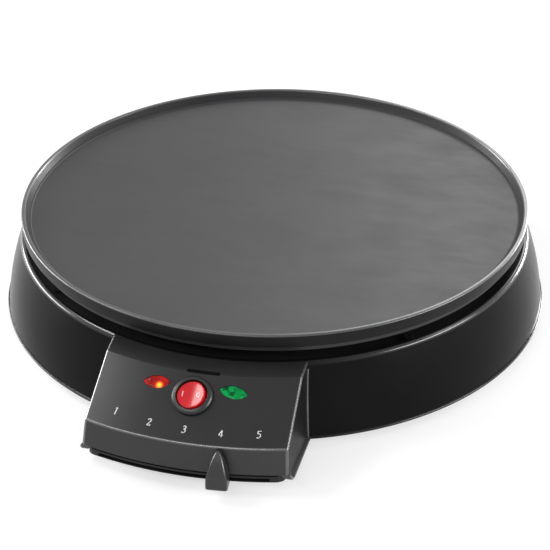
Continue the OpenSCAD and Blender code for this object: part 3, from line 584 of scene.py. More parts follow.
def hotplate():
    """The plate: coated, with a darker wall outside and, inside its rim, a slope that is duller and
    darker, its darkness a painted shade.
    """
    wall_z = plate_z - wall_h
    skirt_r = plate_r - skirt_in
    corners = [
        (0, under_z, 0),
        (skirt_r - skirt_t - skirt_slant, under_z, 1),
        (skirt_r - skirt_t, wall_z - skirt_h, 0.4),
        (skirt_r, wall_z - skirt_h, 0.6),
        (skirt_r, wall_z, 0.5),
        (plate_r - wall_lean, wall_z, 0.8),
        (plate_r, plate_z, rim_round),
        (plate_r - rim_w, plate_z, 0.7),
        (cook_r, cook_z, 2.2),
        (0, cook_z, 0),
    ]
    outline = rounded(corners, closed=False, steps=6)
    plate = mesh_object("plate", *lathe(outline, closed=False, segments=360), crease=40)
    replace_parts(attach(plate, "base"), "hotplate")
    # The slope inside the rim wears a darker, duller copy of the coating, its darkness a painted
    # shade.
    wear(
        plate, coating("nonstick_coating"), MATERIALS["plate_wall"], coating("rim_slope_painted_shade", 0.12, 0.8)
    )
    slope_foot, slope_head = 0.3, 0.5
    for face in plate.data.polygons:
        z, r = face.center.z / MM, math.hypot(face.center.x, face.center.y) / MM
        at_wall = z < plate_z - rim_round and r > plate_r - rim_round
        on_slope = cook_z + slope_foot < z < plate_z - slope_head and r < plate_r - rim_w
        face.material_index = 1 if at_wall else 2 if on_slope else 0


# ---- Housing ----


def flank_line(steps=24):
    """The flank's points of (radius, height), from just above the bead to the crest."""
    start = Vector((edge_r, edge_z + bead_h + bead_slant))
    centre = Vector((shoulder_r - shoulder_round, top_z - shoulder_round))
    end = centre + shoulder_round * Vector((math.cos(flank_lean), math.sin(flank_lean)))
    out = Vector((end.y - start.y, start.x - end.x)).normalized()
    points = []
    for k in range(steps):
        t = k / steps
        points.append(start + (end - start) * t + out * flank_bulge * 4 * t * (1 - t))
    return [tuple(p) for p in points]


def shoulder_line(steps=16):
    """The round from the flank's head to the top, as points of (radius, height)."""
    r, z = shoulder_r - shoulder_round, top_z - shoulder_round
    angles = [flank_lean + (math.pi / 2 - flank_lean) * k / steps for k in range(steps + 1)]
    return [(r + shoulder_round * math.cos(a), z + shoulder_round * math.sin(a)) for a in angles]


def flank_radius(z):
    """The housing's outer radius at a height on its flank or shoulder."""
    line = flank_line() + shoulder_line()
    for (r0, z0), (r1, z1) in zip(line, line[1:]):
        if z0 <= z <= z1:
            return r0 + (r1 - r0) * (z - z0) / (z1 - z0)
    return edge_r


def housing():
    """The flared shell, with the window behind the control box and the pad round the inlet."""
    joint = 0.1
    bead = rounded([
        (edge_r - wall, edge_z, 0.4),
        (edge_r + bead_out, edge_z, 0.4),
        (edge_r + bead_out, edge_z + bead_h, 0.6),
        (edge_r + joint, edge_z + bead_h + bead_slant - joint, 0),
    ], closed=False)
    outside = bead + flank_line() + shoulder_line()
    inner_top = seat_z - wall - 1.5
    inside = [(r - wall, z) for r, z in reversed(flank_line()) if z < inner_top]
    well = rounded([
        (well_r + 0.5, top_z, 0),
        (well_r, top_z, 0.4),
        (well_r, seat_z, 0.3),
        (seat_r, seat_z, 0.4),
        (seat_r, seat_z - wall, 0.4),
        (inside[0][0] - 0.3, seat_z - wall, 1),
        inside[0] + (0,),
    ], closed=False)
    shell = mesh_object("housing", *lathe(outside + well + inside[1:], closed=True), crease=35)
    y0, y1 = -edge_r - 2, -edge_r + window_deep
    window = cutter(
        Matrix.Identity(4),
        [(-window_half, y0), (window_half, y0), (window_half, y1), (-window_half, y1)],
        edge_z - 0.5, edge_z + window_h,
    )
    inlet = Matrix.Translation((0, edge_r + pad_out, edge_z + inlet_up))
    inlet = inlet @ Matrix.Rotation(math.pi / 2, 4, "X")
    cut(shell, window, cutter(inlet, circle(inlet_r), -2, 12))
    section = [(inlet_r, 0, 0.3), (pad_r, 0, 1), (pad_r, pad_l, 0), (inlet_r, pad_l, 0)]
    verts, faces = lathe(rounded(section, steps=4), closed=True, segments=96)
    pad = mesh_object("pad", moved(inlet, verts), faces)
    shell = join("housing", [shell, pad], crease=35)
    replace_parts(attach(shell, "base"), "base_housing")
    wear(shell, MATERIALS["housing_plastic"], MATERIALS["housing_behind_box"])
    for face in shell.data.polygons:
        x, y, z = face.center / MM
        face.material_index = int(abs(x) < box_w / 2 and y < 0 and z > seat_z)


# ---- Control box ----

# The box's plastic, then lighter and darker copies of it: painted highlight on its edges, painted
# light on its front, painted shade on its sides.
BOX_LIT_AND_SHADED_COPIES = ("box_plastic", "box_edge_painted_highlight", "box_front_painted_light", "box_side_painted_shade")
BOX_COLUMNS = 64
CORNER_ROUND = 7.0
LEDGE_ROUND = 2.0
PANEL_ROUND = 1.9
SIDE_ROUND = 1.6
WELT_DOWN = 4
INNER_ROUND = 0.3
INNER_PAST = 8
BEAD_IN = 1.5
BEZEL_SEAT_R = 12.1
SWITCH_HOLE_R = 10.8
LENS_GAP = 0.1
CUT = 6


def box_rows(inward):
    """The top's points of (radius, height), this far inside the skin.

    They run from inside the housing over the ledge and the panel to the front wall's foot.
    """
    lean = math.atan((front_r - panel_r) / (panel_z - front_z))
    back_r = well_r - 4
    fall = inward * math.tan(panel_slope / 2)
    knee = inward * math.tan((math.pi / 2 - lean - panel_slope) / 2)
    knee_r = panel_r - inward * math.sin(panel_slope) - knee * math.cos(panel_slope)
    knee_z = panel_z - inward * math.cos(panel_slope) + knee * math.sin(panel_slope)
    below = INNER_PAST if inward else 0
    return rounded([
        (back_r, ledge_z + (ledge_r - back_r) * ledge_slope - inward, 0),
        (ledge_r - fall, ledge_z - inward, INNER_ROUND if inward else LEDGE_ROUND),
        (knee_r, knee_z, INNER_ROUND if inward else PANEL_ROUND),
        (front_r - inward + below * math.tan(lean), front_z - below, 0),
    ], closed=False)


def side_y(r, z):
    """Where along Y the ring of radius r meets the box's side at height z."""
    return -math.sqrt(r * r - half_width(z) ** 2)


def foot_path(steps=8, straight=4):
    """The foot of a side wall from the front wall back to the housing.

    Each point (y, z) comes with the direction that leads into the wall.
    """
    y0 = side_y(front_r, front_z)
    centre = Vector((y0 + CORNER_ROUND, edge_z + CORNER_ROUND))
    start = -math.asin((CORNER_ROUND - (front_z - edge_z)) / CORNER_ROUND)
    path = []
    for k in range(steps + 1):
        a = start - (math.pi / 2 + start) * k / steps
        direction = Vector((-math.cos(a), math.sin(a)))
        path.append((centre + direction * CORNER_ROUND, -direction))
    back = side_y(edge_r + 0.3, edge_z)
    for k in range(1, straight + 1):
        y = centre.x + (back - centre.x) * k / straight
        path.append((Vector((y, edge_z)), Vector((0, 1))))
    return path


def side_bead(side):
    """The bead round the foot of one side wall, which fades out up the front corner."""
    path = foot_path()
    # Points of (height, how far out as a part of the bead), from the foot up.
    section = [
        (0.02, 0.05), (0.02, 0.5), (0.35, 0.85), (0.9, 1.0), (1.5, 0.85), (2.0, 0.35), (2.4, -0.2),
    ]
    verts = []
    for k, (p, inward) in enumerate(path):
        swell = min(1.0, (k + 1) / 3)
        for up, out in section:
            q = p + inward * up * (0.35 + 0.65 * swell)
            x = half_width(q.y) + (out * side_bead_out * swell if out > 0 else out)
            verts.append((side * x, q.x, q.y))
        q = p + inward * 1.2
        verts.append((side * (half_width(q.y) - BEAD_IN), q.x, q.y))
    return mesh_object("side_bead", verts, capped(len(path), len(section) + 1))


def side_welt(side, welt_r=0.8, steps=24, around=12):
    """The narrow welt up the line where a side wall meets the flank."""
    foot_z, head_z = edge_z + 2, top_z - WELT_DOWN
    verts = []
    for k in range(steps + 1):
        z = foot_z + (head_z - foot_z) * k / steps
        x, y = half_width(z), side_y(flank_radius(z), z)
        verts += [(side * (x + dx), y + dy, z) for dx, dy in circle(welt_r, around)]
    return mesh_object("side_welt", verts, capped(steps + 1, around))


def box_solid(inward, foot, back_y):
    """A closed solid under the box's top, this far inside its skin, and its top's side edges.

    foot is its lower outline as (y, z).
    """
    rows = box_rows(inward)
    verts, faces = [], []
    for r, z in rows:
        half = half_width(z, inward)
        for j in range(BOX_COLUMNS + 1):
            x = half * (2 * j / BOX_COLUMNS - 1)
            verts.append((x, -math.sqrt(r * r - x * x), z))
    across = BOX_COLUMNS + 1
    for i in range(len(rows) - 1):
        for j in range(BOX_COLUMNS):
            a = i * across + j
            faces.append([a, a + 1, a + across + 1, a + across])
    outline = foot + [(back_y, foot[-1][1]), (back_y, rows[0][1])]
    start = len(verts)
    for y, z in outline:
        verts += [(-half_width(z, inward), y, z), (half_width(z, inward), y, z)]
    left = list(range(start, len(verts), 2))
    right = [v + 1 for v in left]
    for k in range(len(left) - 1):
        faces.append([left[k], left[k + 1], right[k + 1], right[k]])
    last = (len(rows) - 1) * across
    faces.append(list(range(last, last + across)) + [right[0], left[0]])
    faces.append(list(range(across)) + [right[-1], left[-1]])
    rims = [[i * across + column for i in range(len(rows))] for column in (0, BOX_COLUMNS)]
    faces += [rims[0] + left, rims[1] + right]
    edges = [(verts[a], verts[b]) for rim in rims for a, b in zip(rim, rim[1:])]
    return mesh_object("box", verts, faces), edges


def bevel_edges(obj, edges, width, segments):
    """Bevels the edges, given as pairs of points in millimetres."""
    wanted = [(Vector(a) + Vector(b)) / 2 * MM for a, b in edges]
    weights = obj.data.attributes.new("bevel_weight_edge", "FLOAT", "EDGE").data
    for edge in obj.data.edges:
        a, b = (obj.data.vertices[v].co for v in edge.vertices)
        if min(((a + b) / 2 - middle).length for middle in wanted) < SAME_EDGE:
            weights[edge.index].value = 1.0
    bevel = obj.modifiers.new("edges", "BEVEL")
    bevel.limit_method = "WEIGHT"
    bevel.use_clamp_overlap = False
    bevel.width = width * MM
    bevel.segments = segments
    bake_modifiers(obj)


def housing_core():
    """The housing's outside as a solid, a little smaller, which the box's back is cut to."""
    overlap = 0.3
    crest = shoulder_line(12)[:7]
    outside = [(r - overlap, z) for r, z in flank_line() + crest]
    foot_z, head_z = edge_z - 3, top_z + 5
    foot = [(0, foot_z), (outside[0][0], foot_z)]
    head = [(outside[-1][0], head_z), (0, head_z)]
    return mesh_object("cutter", *lathe(foot + outside + head, closed=False))


def box_lit_or_shaded_copy(face, round_from=0.33, side_from=0.95, lip_from=0.3, lip_to=0.83, front_to=0.4):
    """Which copy of the box's plastic a face wears: painted highlight on the rounds, lip and welts,
    painted light on the front, painted shade on the sides.

    The limits are of its normal along X for the side and its round, along Z for the lip and front.
    """
    x, y, z = face.center / MM
    r, out, up = math.hypot(x, y), abs(face.normal.x), face.normal.z
    inward = half_width(z) - abs(x)
    in_front = r > panel_r - 0.8
    on_round = round_from < out < side_from and inward < SIDE_ROUND
    on_lip = in_front and abs(z - panel_z) < PANEL_ROUND and lip_from < up < lip_to
    near_flank = r < flank_radius(z) + 1 and z < top_z - WELT_DOWN
    on_welt = near_flank and inward < 0.9 and face.area < 3 * MM ** 2
    if on_round or on_lip or on_welt:
        return 1
    if out >= side_from:
        return 3
    return 2 if in_front and up < front_to else 0


def control_box():
    """The box: a hollow shell cut to the housing, with its holes, its beads and its welts."""
    foot = [tuple(p) for p, _ in foot_path()]
    shell, rims = box_solid(0.0, foot[1:], -shoulder_r + 20)
    bevel_edges(shell, rims, SIDE_ROUND, 5)
    inner, _ = box_solid(wall, [(-front_r + 20, front_z - 9)], -shoulder_r + 30)
    switch = on_panel(0, switch_down)
    cut(
        shell,
        inner,
        housing_core(),
        cutter(switch, circle(BEZEL_SEAT_R), -0.5, 5),
        cutter(switch, circle(SWITCH_HOLE_R), -CUT, CUT),
        *[cutter(lens_place(s), lens_outline(LENS_GAP), -CUT, 3) for s in (-1, 1)],
        cutter(Matrix.Rotation(vent_angle, 4, "Z"), vent_outline(), ledge_z - CUT, ledge_z + CUT),
    )
    trims = [trim(side) for trim in (side_bead, side_welt) for side in (-1, 1)]
    shell = join("control_box_shell", [shell] + trims)
    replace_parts(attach(shell, "base"), "control_box")
    wear(shell, *[MATERIALS[name] for name in BOX_LIT_AND_SHADED_COPIES])
    # Each face wears the plain plastic or a copy with painted highlight, painted light or painted
    # shade.
    for face in shell.data.polygons:
        face.material_index = box_lit_or_shaded_copy(face)


def vent_outline(length=20.0, behind=2.3, past=0.3, steps=10):
    """The slot along the ledge's front edge, with rounded ends."""
    middle, half = ledge_r + (past - behind) / 2, (past + behind) / 2
    reach = (length / 2 - half) / middle
    out = []
    for side in (1, -1):
        for k in range(steps + 1):
            a = side * reach * (2 * k / steps - 1)
            r = middle + side * half
            out.append((r * math.sin(a), -r * math.cos(a)))
        tip = side * reach
        for k in range(1, 6):
            b = math.pi * k / 6
            r = middle + side * half * math.cos(b)
            past_tip = half * math.sin(b)
            x = r * math.sin(tip) + side * past_tip * math.cos(tip)
            y = -r * math.cos(tip) + past_tip * math.sin(abs(tip))
            out.append((x, y))
    return out


# ---- Lamps ----

LENS_L = 16.4
LENS_W = 7.8
NEON_ANGLE = math.radians(-6.44)
NEON_R = 183.1


def lens_place(side):
    """The place of a lens, turned a little in the panel's plane."""
    return on_panel(side * lens_angle, lens_down) @ Matrix.Rotation(-side * lens_tilt, 4, "Z")


def lens_outline(grow, steps=24):
    """The outline of a lens: two arcs that meet in points."""
    half_l = LENS_L / 2 + grow
    half_w = LENS_W / 2 + grow
    r = (half_l ** 2 + half_w ** 2) / (2 * half_w)
    reach = math.asin(half_l / r)
    lower = [reach * (2 * k / steps - 1) for k in range(steps)]
    arc = [(r * math.sin(a), r - half_w - r * math.cos(a)) for a in lower]
    return arc + [(-x, -y) for x, y in arc]


def lens(name, node, side, material):
    """A lens with a bevelled rim and a low crown."""
    place = lens_place(side)
    rings = [(0.0, -2.4), (0.0, -0.35), (-0.25, -0.1), (-1.0, 0.12), (-2.2, 0.3)]
    verts = [(x, y, z) for grow, z in rings for x, y in lens_outline(grow)]
    faces = capped(len(rings), len(verts) // len(rings))
    piece = mesh_object(name, moved(place, verts), faces, crease=25)
    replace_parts(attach(piece, "base"), node)
    wear(piece, material)


def lenses():
    """Both lenses; a neon shows through the red one, while the green one has only a faint painted
    glow of its own colour.
    """
    neon = on_panel(NEON_ANGLE, NEON_R - ledge_r).translation * MM
    glow = (tuple(neon), (1.0, 0.62, 0.06), (0.95, 0.16, 0.01), 1.3)
    red = lens_plastic("red_lens", (0.10, 0.003, 0.004), (0.42, 0.012, 0.010), glow)
    lens("lamp_lens_red", "power_lens", -1, red)
    green = lens_plastic("green_lens", (0.0005, 0.03, 0.01), (0.001, 0.36, 0.08))
    lens("lamp_lens_green", "ready_lens", 1, green)


# ---- Switch ----

BEZEL_R = 11.8
BEZEL_H = 3.0
BEZEL_FOOT = -0.45
WELL_R = 9.1
WELL_FLOOR = -7.5
BODY_R = 10.6
BODY_FOOT = -15
ROCKER_R = 8.2
ROCKER_FOOT = -3.4
ROCKER_RISE = 0.3
DISH_DEEP = 1
PIVOT_H = -0.8
ROCKER_REST = math.radians(-9)
DISH_R = 46.0


def bezel():
    """The switch's bezel, with the well that the rocker tips in and the body behind the panel."""
    outline = rounded([
        (0, WELL_FLOOR, 0),
        (WELL_R, WELL_FLOOR, 0.5),
        (WELL_R, BEZEL_H, 0.25),
        (WELL_R + 0.4, BEZEL_H, 0.15),
        (10.85, 2.55, 1.2),
        (BEZEL_R, 1.5, 0.7),
        (BEZEL_R, BEZEL_FOOT, 0),
        (BODY_R, BEZEL_FOOT, 0),
        (BODY_R, BODY_FOOT, 0.5),
        (0, BODY_FOOT, 0),
    ], closed=False)
    verts, faces = lathe(outline, closed=False, segments=128)
    piece = mesh_object("switch_bezel", moved(on_panel(0, switch_down), verts), faces)
    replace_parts(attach(piece, "base"), "switch_body")
    wear(piece, MATERIALS["bezel_plastic"])


def rocker_place():
    """The rocker's pivot at rest, with its I side pressed."""
    lift = Matrix.Translation((0, 0, PIVOT_H))
    return on_panel(0, switch_down) @ lift @ Matrix.Rotation(ROCKER_REST, 4, "Y")


def dish(x):
    """The height of the rocker's dished face above its pivot, this far from its middle."""
    crown = BEZEL_H + ROCKER_RISE - PIVOT_H - DISH_DEEP
    return crown + DISH_R - math.sqrt(DISH_R ** 2 - x * x)


def rocker(around=96):
    """The round rocker, its dished face made of rings of (radius, height off the dish)."""
    rings = [(r, 0.0) for r in (1.5, 3, 4.5, 6, 7, 7.6)]
    rings += [(7.9, -0.06), (8.08, -0.18), (8.17, -0.36), (ROCKER_R, -0.6)]
    verts = [(0, 0, dish(0))]
    for r, rise in rings:
        verts += [(x, y, dish(x) + rise) for x, y in circle(r, around)]
    verts += [(x, y, ROCKER_FOOT) for x, y in circle(ROCKER_R, around)]
    faces = [[0, 1 + k, 1 + (k + 1) % around] for k in range(around)]
    faces += wrapped(len(rings) + 1, around, start=1)
    faces.append(list(range(len(verts) - around, len(verts))))
    piece = mesh_object("rocker_button", moved(rocker_place(), verts), faces)
    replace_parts(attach(piece, "rocker"), "power_rocker")
    wear(piece, red_rocker())


# ---- Figures, drawn with a broad pen ----

PEN_ANGLE = math.radians(28)
PEN_WIDE = 0.15
PEN_THIN = 0.07
SLANT = 0.04
MIDDLE = 0.28
FIGURE_H = 4.1
# Where each figure stands: degrees from the front and millimetres down the panel.
FIGURE_PLACES = [(-12.0, 27.9), (-5.9, 29.3), (0.0, 29.8), (5.9, 29.9), (11.9, 29.3)]
INK = 0.03
INK_LIFT = 0.01
# The strokes of each figure, in heights of the figure, about an upright through MIDDLE.
FIGURES = {
    "1": [[(0.08, 0.80), (0.20, 0.90), (0.31, 1.0)], [(0.31, 1.0), (0.31, 0.5), (0.31, 0.0)],
          [(0.21, 0.0), (0.31, 0.0), (0.41, 0.0)]],
    "2": [[(0.06, 0.76), (0.12, 0.93), (0.30, 1.0), (0.47, 0.88), (0.46, 0.68), (0.30, 0.38),
           (0.05, 0.03)],
          [(0.05, 0.03), (0.30, 0.03), (0.50, 0.03), (0.55, 0.18)]],
    "3": [[(0.08, 0.84), (0.24, 1.0), (0.44, 0.90), (0.42, 0.66), (0.20, 0.54)],
          [(0.20, 0.54), (0.44, 0.46), (0.49, 0.24), (0.34, 0.02), (0.14, 0.0), (0.02, 0.12)]],
    "4": [[(0.38, 1.0), (0.20, 0.66), (0.00, 0.30)], [(0.00, 0.30), (0.28, 0.30), (0.56, 0.30)],
          [(0.40, 1.0), (0.40, 0.5), (0.40, 0.0)]],
    "5": [[(0.15, 0.97), (0.34, 0.97), (0.54, 0.99)], [(0.15, 0.97), (0.12, 0.76), (0.08, 0.57)],
          [(0.08, 0.57), (0.28, 0.61), (0.46, 0.48), (0.46, 0.22), (0.30, 0.0), (0.10, 0.0),
           (0.0, 0.10)]],
}


def smooth_path(points, steps=6):
    """A Catmull-Rom curve through the points."""
    out = []
    for i in range(len(points) - 1):
        p = [Vector(points[max(0, min(len(points) - 1, i + k))]) for k in (-1, 0, 1, 2)]
        for k in range(steps):
            t = k / steps
            out.append(0.5 * (
                2 * p[1] + (p[2] - p[0]) * t
                + (2 * p[0] - 5 * p[1] + 4 * p[2] - p[3]) * t * t
                + (3 * p[1] - p[0] - 3 * p[2] + p[3]) * t ** 3
            ))
    return out + [Vector(points[-1])]


def stroke(path, size, slant, wide, thin, lift):
    """Points and faces of one pen stroke, a thin closed slab."""
    line = smooth_path(path)
    verts, faces = [], []
    for i, p in enumerate(line):
        along = line[min(i + 1, len(line) - 1)] - line[max(i - 1, 0)]
        heading = math.atan2(along.y, along.x)
        half = (thin + (wide - thin) * abs(math.sin(heading - PEN_ANGLE))) / 2
        across = Vector((-along.y, along.x)).normalized() * half
        for q in (p + across, p - across):
            x = (q.x - MIDDLE + q.y * slant - slant / 2) * size
            y = (q.y - 0.5) * size
            verts += [(x, y, lift), (x, y, lift + INK)]
    for i in range(len(line) - 1):
        a = 4 * i
        for j, k in ((0, 1), (1, 3), (3, 2), (2, 0)):
            faces.append([a + j, a + k, a + 4 + k, a + 4 + j])
    last = 4 * (len(line) - 1)
    faces += [[0, 1, 3, 2], [last, last + 1, last + 3, last + 2]]
    return verts, faces


def figures():
    """The numbers 1 to 5 along the lever's scale."""
    parts = []
    for mark, (angle, down) in enumerate(FIGURE_PLACES):
        place = on_panel(math.radians(angle), down)
        for k, path in enumerate(FIGURES[str(mark + 1)]):
            lift = INK_LIFT + 0.005 * k
            verts, faces = stroke(path, FIGURE_H, SLANT, PEN_WIDE, PEN_THIN, lift)
            parts.append(mesh_object("stroke", moved(place, verts), faces))
    piece = join("scale_figures", parts)
    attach(piece, "base")
    wear(piece, printed("white_ink", (0.8, 0.8, 0.8)))


def switch_marks():
    """I and O on the rocker's face."""
    line = [(MIDDLE, 0.0), (MIDDLE, 0.5), (MIDDLE, 1.0)]
    turns = [TURN * k / 16 for k in range(17)]
    ring = [(MIDDLE + 0.36 * math.sin(a), 0.5 + 0.5 * math.cos(a)) for a in turns]
    pen = 0.16
    parts = []
    for path, mark_x, size in ((line, -5.0, 3.2), (ring, 4.4, 2.5)):
        verts, faces = stroke(path, size, 0, pen, pen, INK_LIFT)
        verts = [(mark_x + x, y, dish(mark_x + x) + z) for x, y, z in verts]
        parts.append(mesh_object("mark", moved(rocker_place(), verts), faces))
    piece = join("rocker_marks", parts)
    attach(piece, "rocker")
    wear(piece, printed("rocker_ink", (0.85, 0.8, 0.8)))


# ---- Lever's pointer ----

POINTER_W = 12.4
POINTER_H = 20.9
POINTER_DEPTH = 9.5
POINTER_TIP = 1.6
POINTER_ANGLE = math.radians(6)
POINTER_GAP = 0.8
POINTER_UP = 1.7
FOOT_ROUND = 1.3
ARCH_H = 14.5
ARCH_CURVE = 0.55
FRONT_CURVE = 1.8
FRONT_CORNER = 1.5


def pointer_depth(h):
    """How far out the pointer's front stands at a height."""
    front = [(0, POINTER_DEPTH - 0.9), (0.5, POINTER_DEPTH - 0.25), (FOOT_ROUND, POINTER_DEPTH)]
    for t in [k / 12 for k in range(1, 13)]:
        front.append((
            FOOT_ROUND + (POINTER_H - FOOT_ROUND) * t,
            POINTER_TIP + (POINTER_DEPTH - POINTER_TIP) * (1 - t ** FRONT_CURVE),
        ))
    for (h0, d0), (h1, d1) in zip(front, front[1:]):
        if h <= h1:
            return d0 + (d1 - d0) * (h - h0) / (h1 - h0)
    return front[-1][1]


def pointer(rows=30, corner_steps=5):
    """A pointed block, curved in to its tip, with rounded front corners and a flat back."""
    above = POINTER_H - FOOT_ROUND
    heights = [0, 0.25, 0.7, FOOT_ROUND]
    heights += [FOOT_ROUND + above * (1 - (1 - k / rows) ** 1.5) for k in range(1, rows + 1)]
    verts = []
    for h in heights:
        half = max(POINTER_W / 2 * min(1, (POINTER_H - h) / ARCH_H) ** ARCH_CURVE, 0.12)
        deep = pointer_depth(h)
        r = min(FRONT_CORNER, half * 0.8, deep * 0.6)
        ring = [(-half, 0)]
        for k in range(corner_steps + 1):
            a = math.pi / 2 * k / corner_steps
            ring.append((-half + r - r * math.cos(a), -deep + r - r * math.sin(a)))
        ring += [(-x, y) for x, y in reversed(ring)]
        verts += [(x, y, h) for x, y in ring]
    faces = capped(len(heights), len(verts) // len(heights))
    place = at(POINTER_ANGLE, front_r + POINTER_GAP, edge_z + POINTER_UP)
    piece = mesh_object("lever_pointer", moved(place, verts), faces, crease=42)
    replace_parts(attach(piece, "lever"), "lever_knob")
    wear(piece, MATERIALS["knob_plastic"])


# ---- Stage, camera and light ----

CAMERA = Vector((0.260263, -1.002054, 0.643755))
AIM = Vector((0.002550, -0.010038, 0.019328))
LENS_MM = 121.92
ROLL = math.radians(-0.356)
LIGHT_AIM_Z = 0.04
FLOOR_NEAR = 0.5
FLOOR_FAR = 2.6
FLOOR_R = 6000
WORLD_DIM = 0.14
MIRRORED = ("Is Glossy Ray", "Is Transmission Ray")
# Name, degrees from the front towards +X, degrees up, distance, width and height in metres, watts.
SOFTBOXES = [
    ("upper_left", -80, 48, 1.5, 0.6, 0.28, 8.5),
    ("front", -18, 40, 1.6, 1.4, 0.22, 8),
    ("right", 80, 16, 1.6, 1.1, 0.35, 20),
    ("edge_right", 101, 39, 1.5, 0.3, 0.45, 2.5),
    ("left", -99, 12, 1.6, 1.2, 0.35, 27),
    ("back", 172, 33, 1.6, 0.9, 0.5, 6),
    ("back_right", 143, 4, 1.8, 0.5, 0.3, 42),
]


def turned(obj, direction, roll=0.0):
    """Turns a camera or lamp, which look down their -Z, to a direction."""
    obj.rotation_mode = "QUATERNION"
    turn = Matrix.Rotation(roll, 3, "Z").to_quaternion()
    obj.rotation_quaternion = direction.to_track_quat("-Z", "Y") @ turn


def camera():
    """The camera that was solved from the plate's rim and the housing's lower edge."""
    data = bpy.data.cameras.new("camera")
    data.lens = LENS_MM
    data.sensor_width = 36
    obj = placed("camera", data)
    turned(obj, (AIM - CAMERA).normalized(), ROLL)
    obj.location = CAMERA
    scene.camera = obj


def seen_white(n, near, far):
    """A strength only the camera, gloss and glass see; it grows from near to far, in metres."""
    path = n.new("ShaderNodeLightPath")
    shown = path.outputs["Is Camera Ray"]
    for ray in MIRRORED:
        shown = n.math("MAXIMUM", shown, path.outputs[ray])
    distance = n.new("ShaderNodeVectorMath", operation="LENGTH")
    n.link(n.place, distance.inputs[0])
    rise = n.scaled(distance.outputs["Value"], near, far, FLOOR_NEAR, FLOOR_FAR)
    return n.math("MULTIPLY", shown, rise)


def floor():
    """A pale round floor that turns white away from the object."""
    verts, faces = prism(circle(FLOOR_R, 64), -20, 0)
    ground = mesh_object("floor", verts, faces)
    n = Nodes("floor")
    tone = n.ramp(n.noise(2, 3), [(0.3, 0.41), (0.7, 0.42)])
    shader = n.principled(tone, Roughness=0.9, IOR=1.3)
    shader.inputs["Emission Color"].default_value = (1, 1, 1, 1)
    n.link(seen_white(n, 0.62, 1.0), shader.inputs["Emission Strength"])
    wear(ground, n.material)


def world():
    """White where it is seen or mirrored, and dim where it only lights."""
    sky = bpy.data.worlds.new("world")
    scene.world = sky
    sky.use_nodes = True
    tree = sky.node_tree
    background = tree.nodes["Background"]
    background.inputs["Color"].default_value = (1, 1, 1, 1)
    path = tree.nodes.new("ShaderNodeLightPath")
    shown = path.outputs["Is Camera Ray"]
    for ray in MIRRORED:
        node = tree.nodes.new("ShaderNodeMath")
        node.operation = "MAXIMUM"
        tree.links.new(shown, node.inputs[0])
        tree.links.new(path.outputs[ray], node.inputs[1])
        shown = node.outputs[0]
    strength = tree.nodes.new("ShaderNodeMapRange")
    strength.inputs["To Min"].default_value = WORLD_DIM
    strength.inputs["To Max"].default_value = 1.0
    tree.links.new(shown, strength.inputs["Value"])
    tree.links.new(strength.outputs["Result"], background.inputs["Strength"])


def softbox(name, azimuth, elevation, distance, width, height, power):
    """A soft lamp that faces the object, from a row of SOFTBOXES."""
    data = bpy.data.lights.new(name, "AREA")
    data.shape = "RECTANGLE"
    data.size = width
    data.size_y = height
    data.energy = power
    obj = placed(name, data)
    obj.visible_camera = False
    a, e = math.radians(azimuth), math.radians(elevation)
    direction = Vector((math.sin(a) * math.cos(e), -math.cos(a) * math.cos(e), math.sin(e)))
    obj.location = direction * distance + Vector((0, 0, LIGHT_AIM_Z))
    turned(obj, -direction)


# ---- Finishes ----

BEAD_BAND = (edge_z - 1, edge_z, edge_z + 1.3, edge_z + 1.9)
CREST_BAND = (top_z - 2.9, top_z - 2.0, top_z + 1, top_z + 2)
WALL_BAND = (plate_z - 13, plate_z - 12.6, plate_z - 11.7, plate_z - 11.2)
WHOLE_BOX = (edge_z - 2, edge_z - 1, top_z + 4, top_z + 5)
HOUSING_TONES = (0.003, 0.003, 0.0032), (0.005, 0.005, 0.0053)

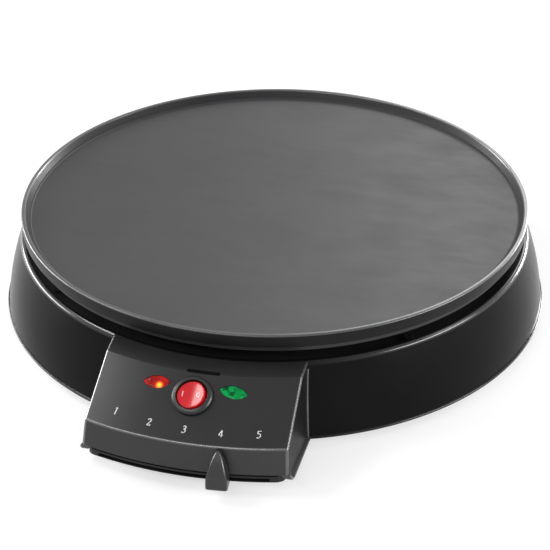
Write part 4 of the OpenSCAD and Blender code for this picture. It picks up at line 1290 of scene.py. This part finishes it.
MATERIALS = {
    "housing_plastic": moulded(
        "housing_plastic", *HOUSING_TONES, 0.24, gloss=0.085,
        bands=[BEAD_BAND, CREST_BAND], fade=(-50, 0, 60, 112),
    ),
    "housing_behind_box": moulded("housing_behind_box", *HOUSING_TONES, 0.3, gloss=0.05),
    "plate_wall": moulded(
        "plate_wall", (0.007, 0.007, 0.0073), (0.011, 0.011, 0.0115), 0.36, 500, 0.00004,
        gloss=0.16, bands=[WALL_BAND],
    ),
    # Copies of the box's plastic, by face: a lighter, glossier one as painted highlight on its edges,
    # a lighter one as painted light on its front, a darker one as painted shade on its sides.
    "box_edge_painted_highlight": moulded(
        "box_edge_painted_highlight", (0.022, 0.022, 0.0225), (0.038, 0.038, 0.039), 0.24, gloss=0.9,
        bands=[WHOLE_BOX],
    ),
    "box_front_painted_light": moulded(
        "box_front_painted_light", (0.018, 0.018, 0.0185), (0.026, 0.026, 0.0265), 0.34, gloss=0.5,
    ),
    "box_side_painted_shade": moulded("box_side_painted_shade", (0.006, 0.006, 0.0062), (0.01, 0.01, 0.0103), 0.36, gloss=0.08),
    "box_plastic": moulded(
        "box_plastic", (0.014, 0.014, 0.0145), (0.019, 0.019, 0.0195), 0.33, gloss=0.28,
    ),
    "knob_plastic": moulded(
        "knob_plastic", (0.013, 0.013, 0.0135), (0.019, 0.019, 0.0195), 0.26, gloss=0.6,
    ),
    "cover_plastic": moulded(
        "cover_plastic", (0.01, 0.01, 0.0105), (0.015, 0.015, 0.0155), 0.45, 500, 0.00005,
    ),
    "bezel_plastic": moulded(
        "bezel_plastic", (0.014, 0.014, 0.0145), (0.02, 0.02, 0.0205), 0.3, gloss=0.4,
    ),
    "sheet_steel": metal("sheet_steel", (0.42, 0.43, 0.44), (0.62, 0.63, 0.64), 0.34, (1, 30, 1)),
    # Near black, so that the heat shield in the gap under the plate reads as shade: a dark sheet as
    # painted shade.
    "dark_steel": moulded("dark_steel", (0.006, 0.006, 0.0062), (0.01, 0.01, 0.0105), 0.5, 500),
    "zinc_steel": metal("zinc_steel", (0.46, 0.47, 0.48), (0.70, 0.71, 0.73), 0.28),
    "element_sheath": metal("element_sheath", (0.25, 0.24, 0.23), (0.45, 0.44, 0.42), 0.42),
    "plated_tabs": metal("plated_tabs", (0.55, 0.53, 0.48), (0.75, 0.73, 0.67), 0.3),
    "brass": metal("brass", (0.50, 0.34, 0.12), (0.78, 0.58, 0.26), 0.28),
    "thermostat_ceramic": matt("thermostat_ceramic", (0.62, 0.59, 0.52), (0.74, 0.72, 0.65), 0.6),
    "fuse_ceramic": matt("fuse_ceramic", (0.58, 0.56, 0.50), (0.72, 0.70, 0.64), 0.6),
    "pale_nylon": matt("pale_nylon", (0.66, 0.63, 0.56), (0.78, 0.76, 0.70), 0.5),
    "rubber": matt("rubber", (0.012, 0.012, 0.012), (0.022, 0.022, 0.022), 0.72, 900),
    "lead_insulation": matt("lead_insulation", (0.13, 0.05, 0.025), (0.18, 0.08, 0.04), 0.45),
    "glass_sleeve": matt("glass_sleeve", (0.60, 0.57, 0.50), (0.78, 0.75, 0.68), 0.75, 1400),
    "earth_insulation": matt("earth_insulation", (0.14, 0.30, 0.05), (0.24, 0.42, 0.08), 0.45),
    "lamp_glass": lamp_glass(),
}


def dress_cad_nodes():
    """Gives each CAD node that stays in view the material of its slot."""
    slots = {part["node"]: part["material_slot"] for part in frame["record"]["subparts"]}
    for name, obj in frame["nodes"].items():
        if obj.hide_render:
            continue
        obj.data.materials.clear()
        wear(obj, MATERIALS[slots[name]])


hotplate()
housing()
control_box()
lenses()
bezel()
rocker()
figures()
switch_marks()
pointer()
dress_cad_nodes()
floor()
world()
for row in SOFTBOXES:
    softbox(*row)
camera()
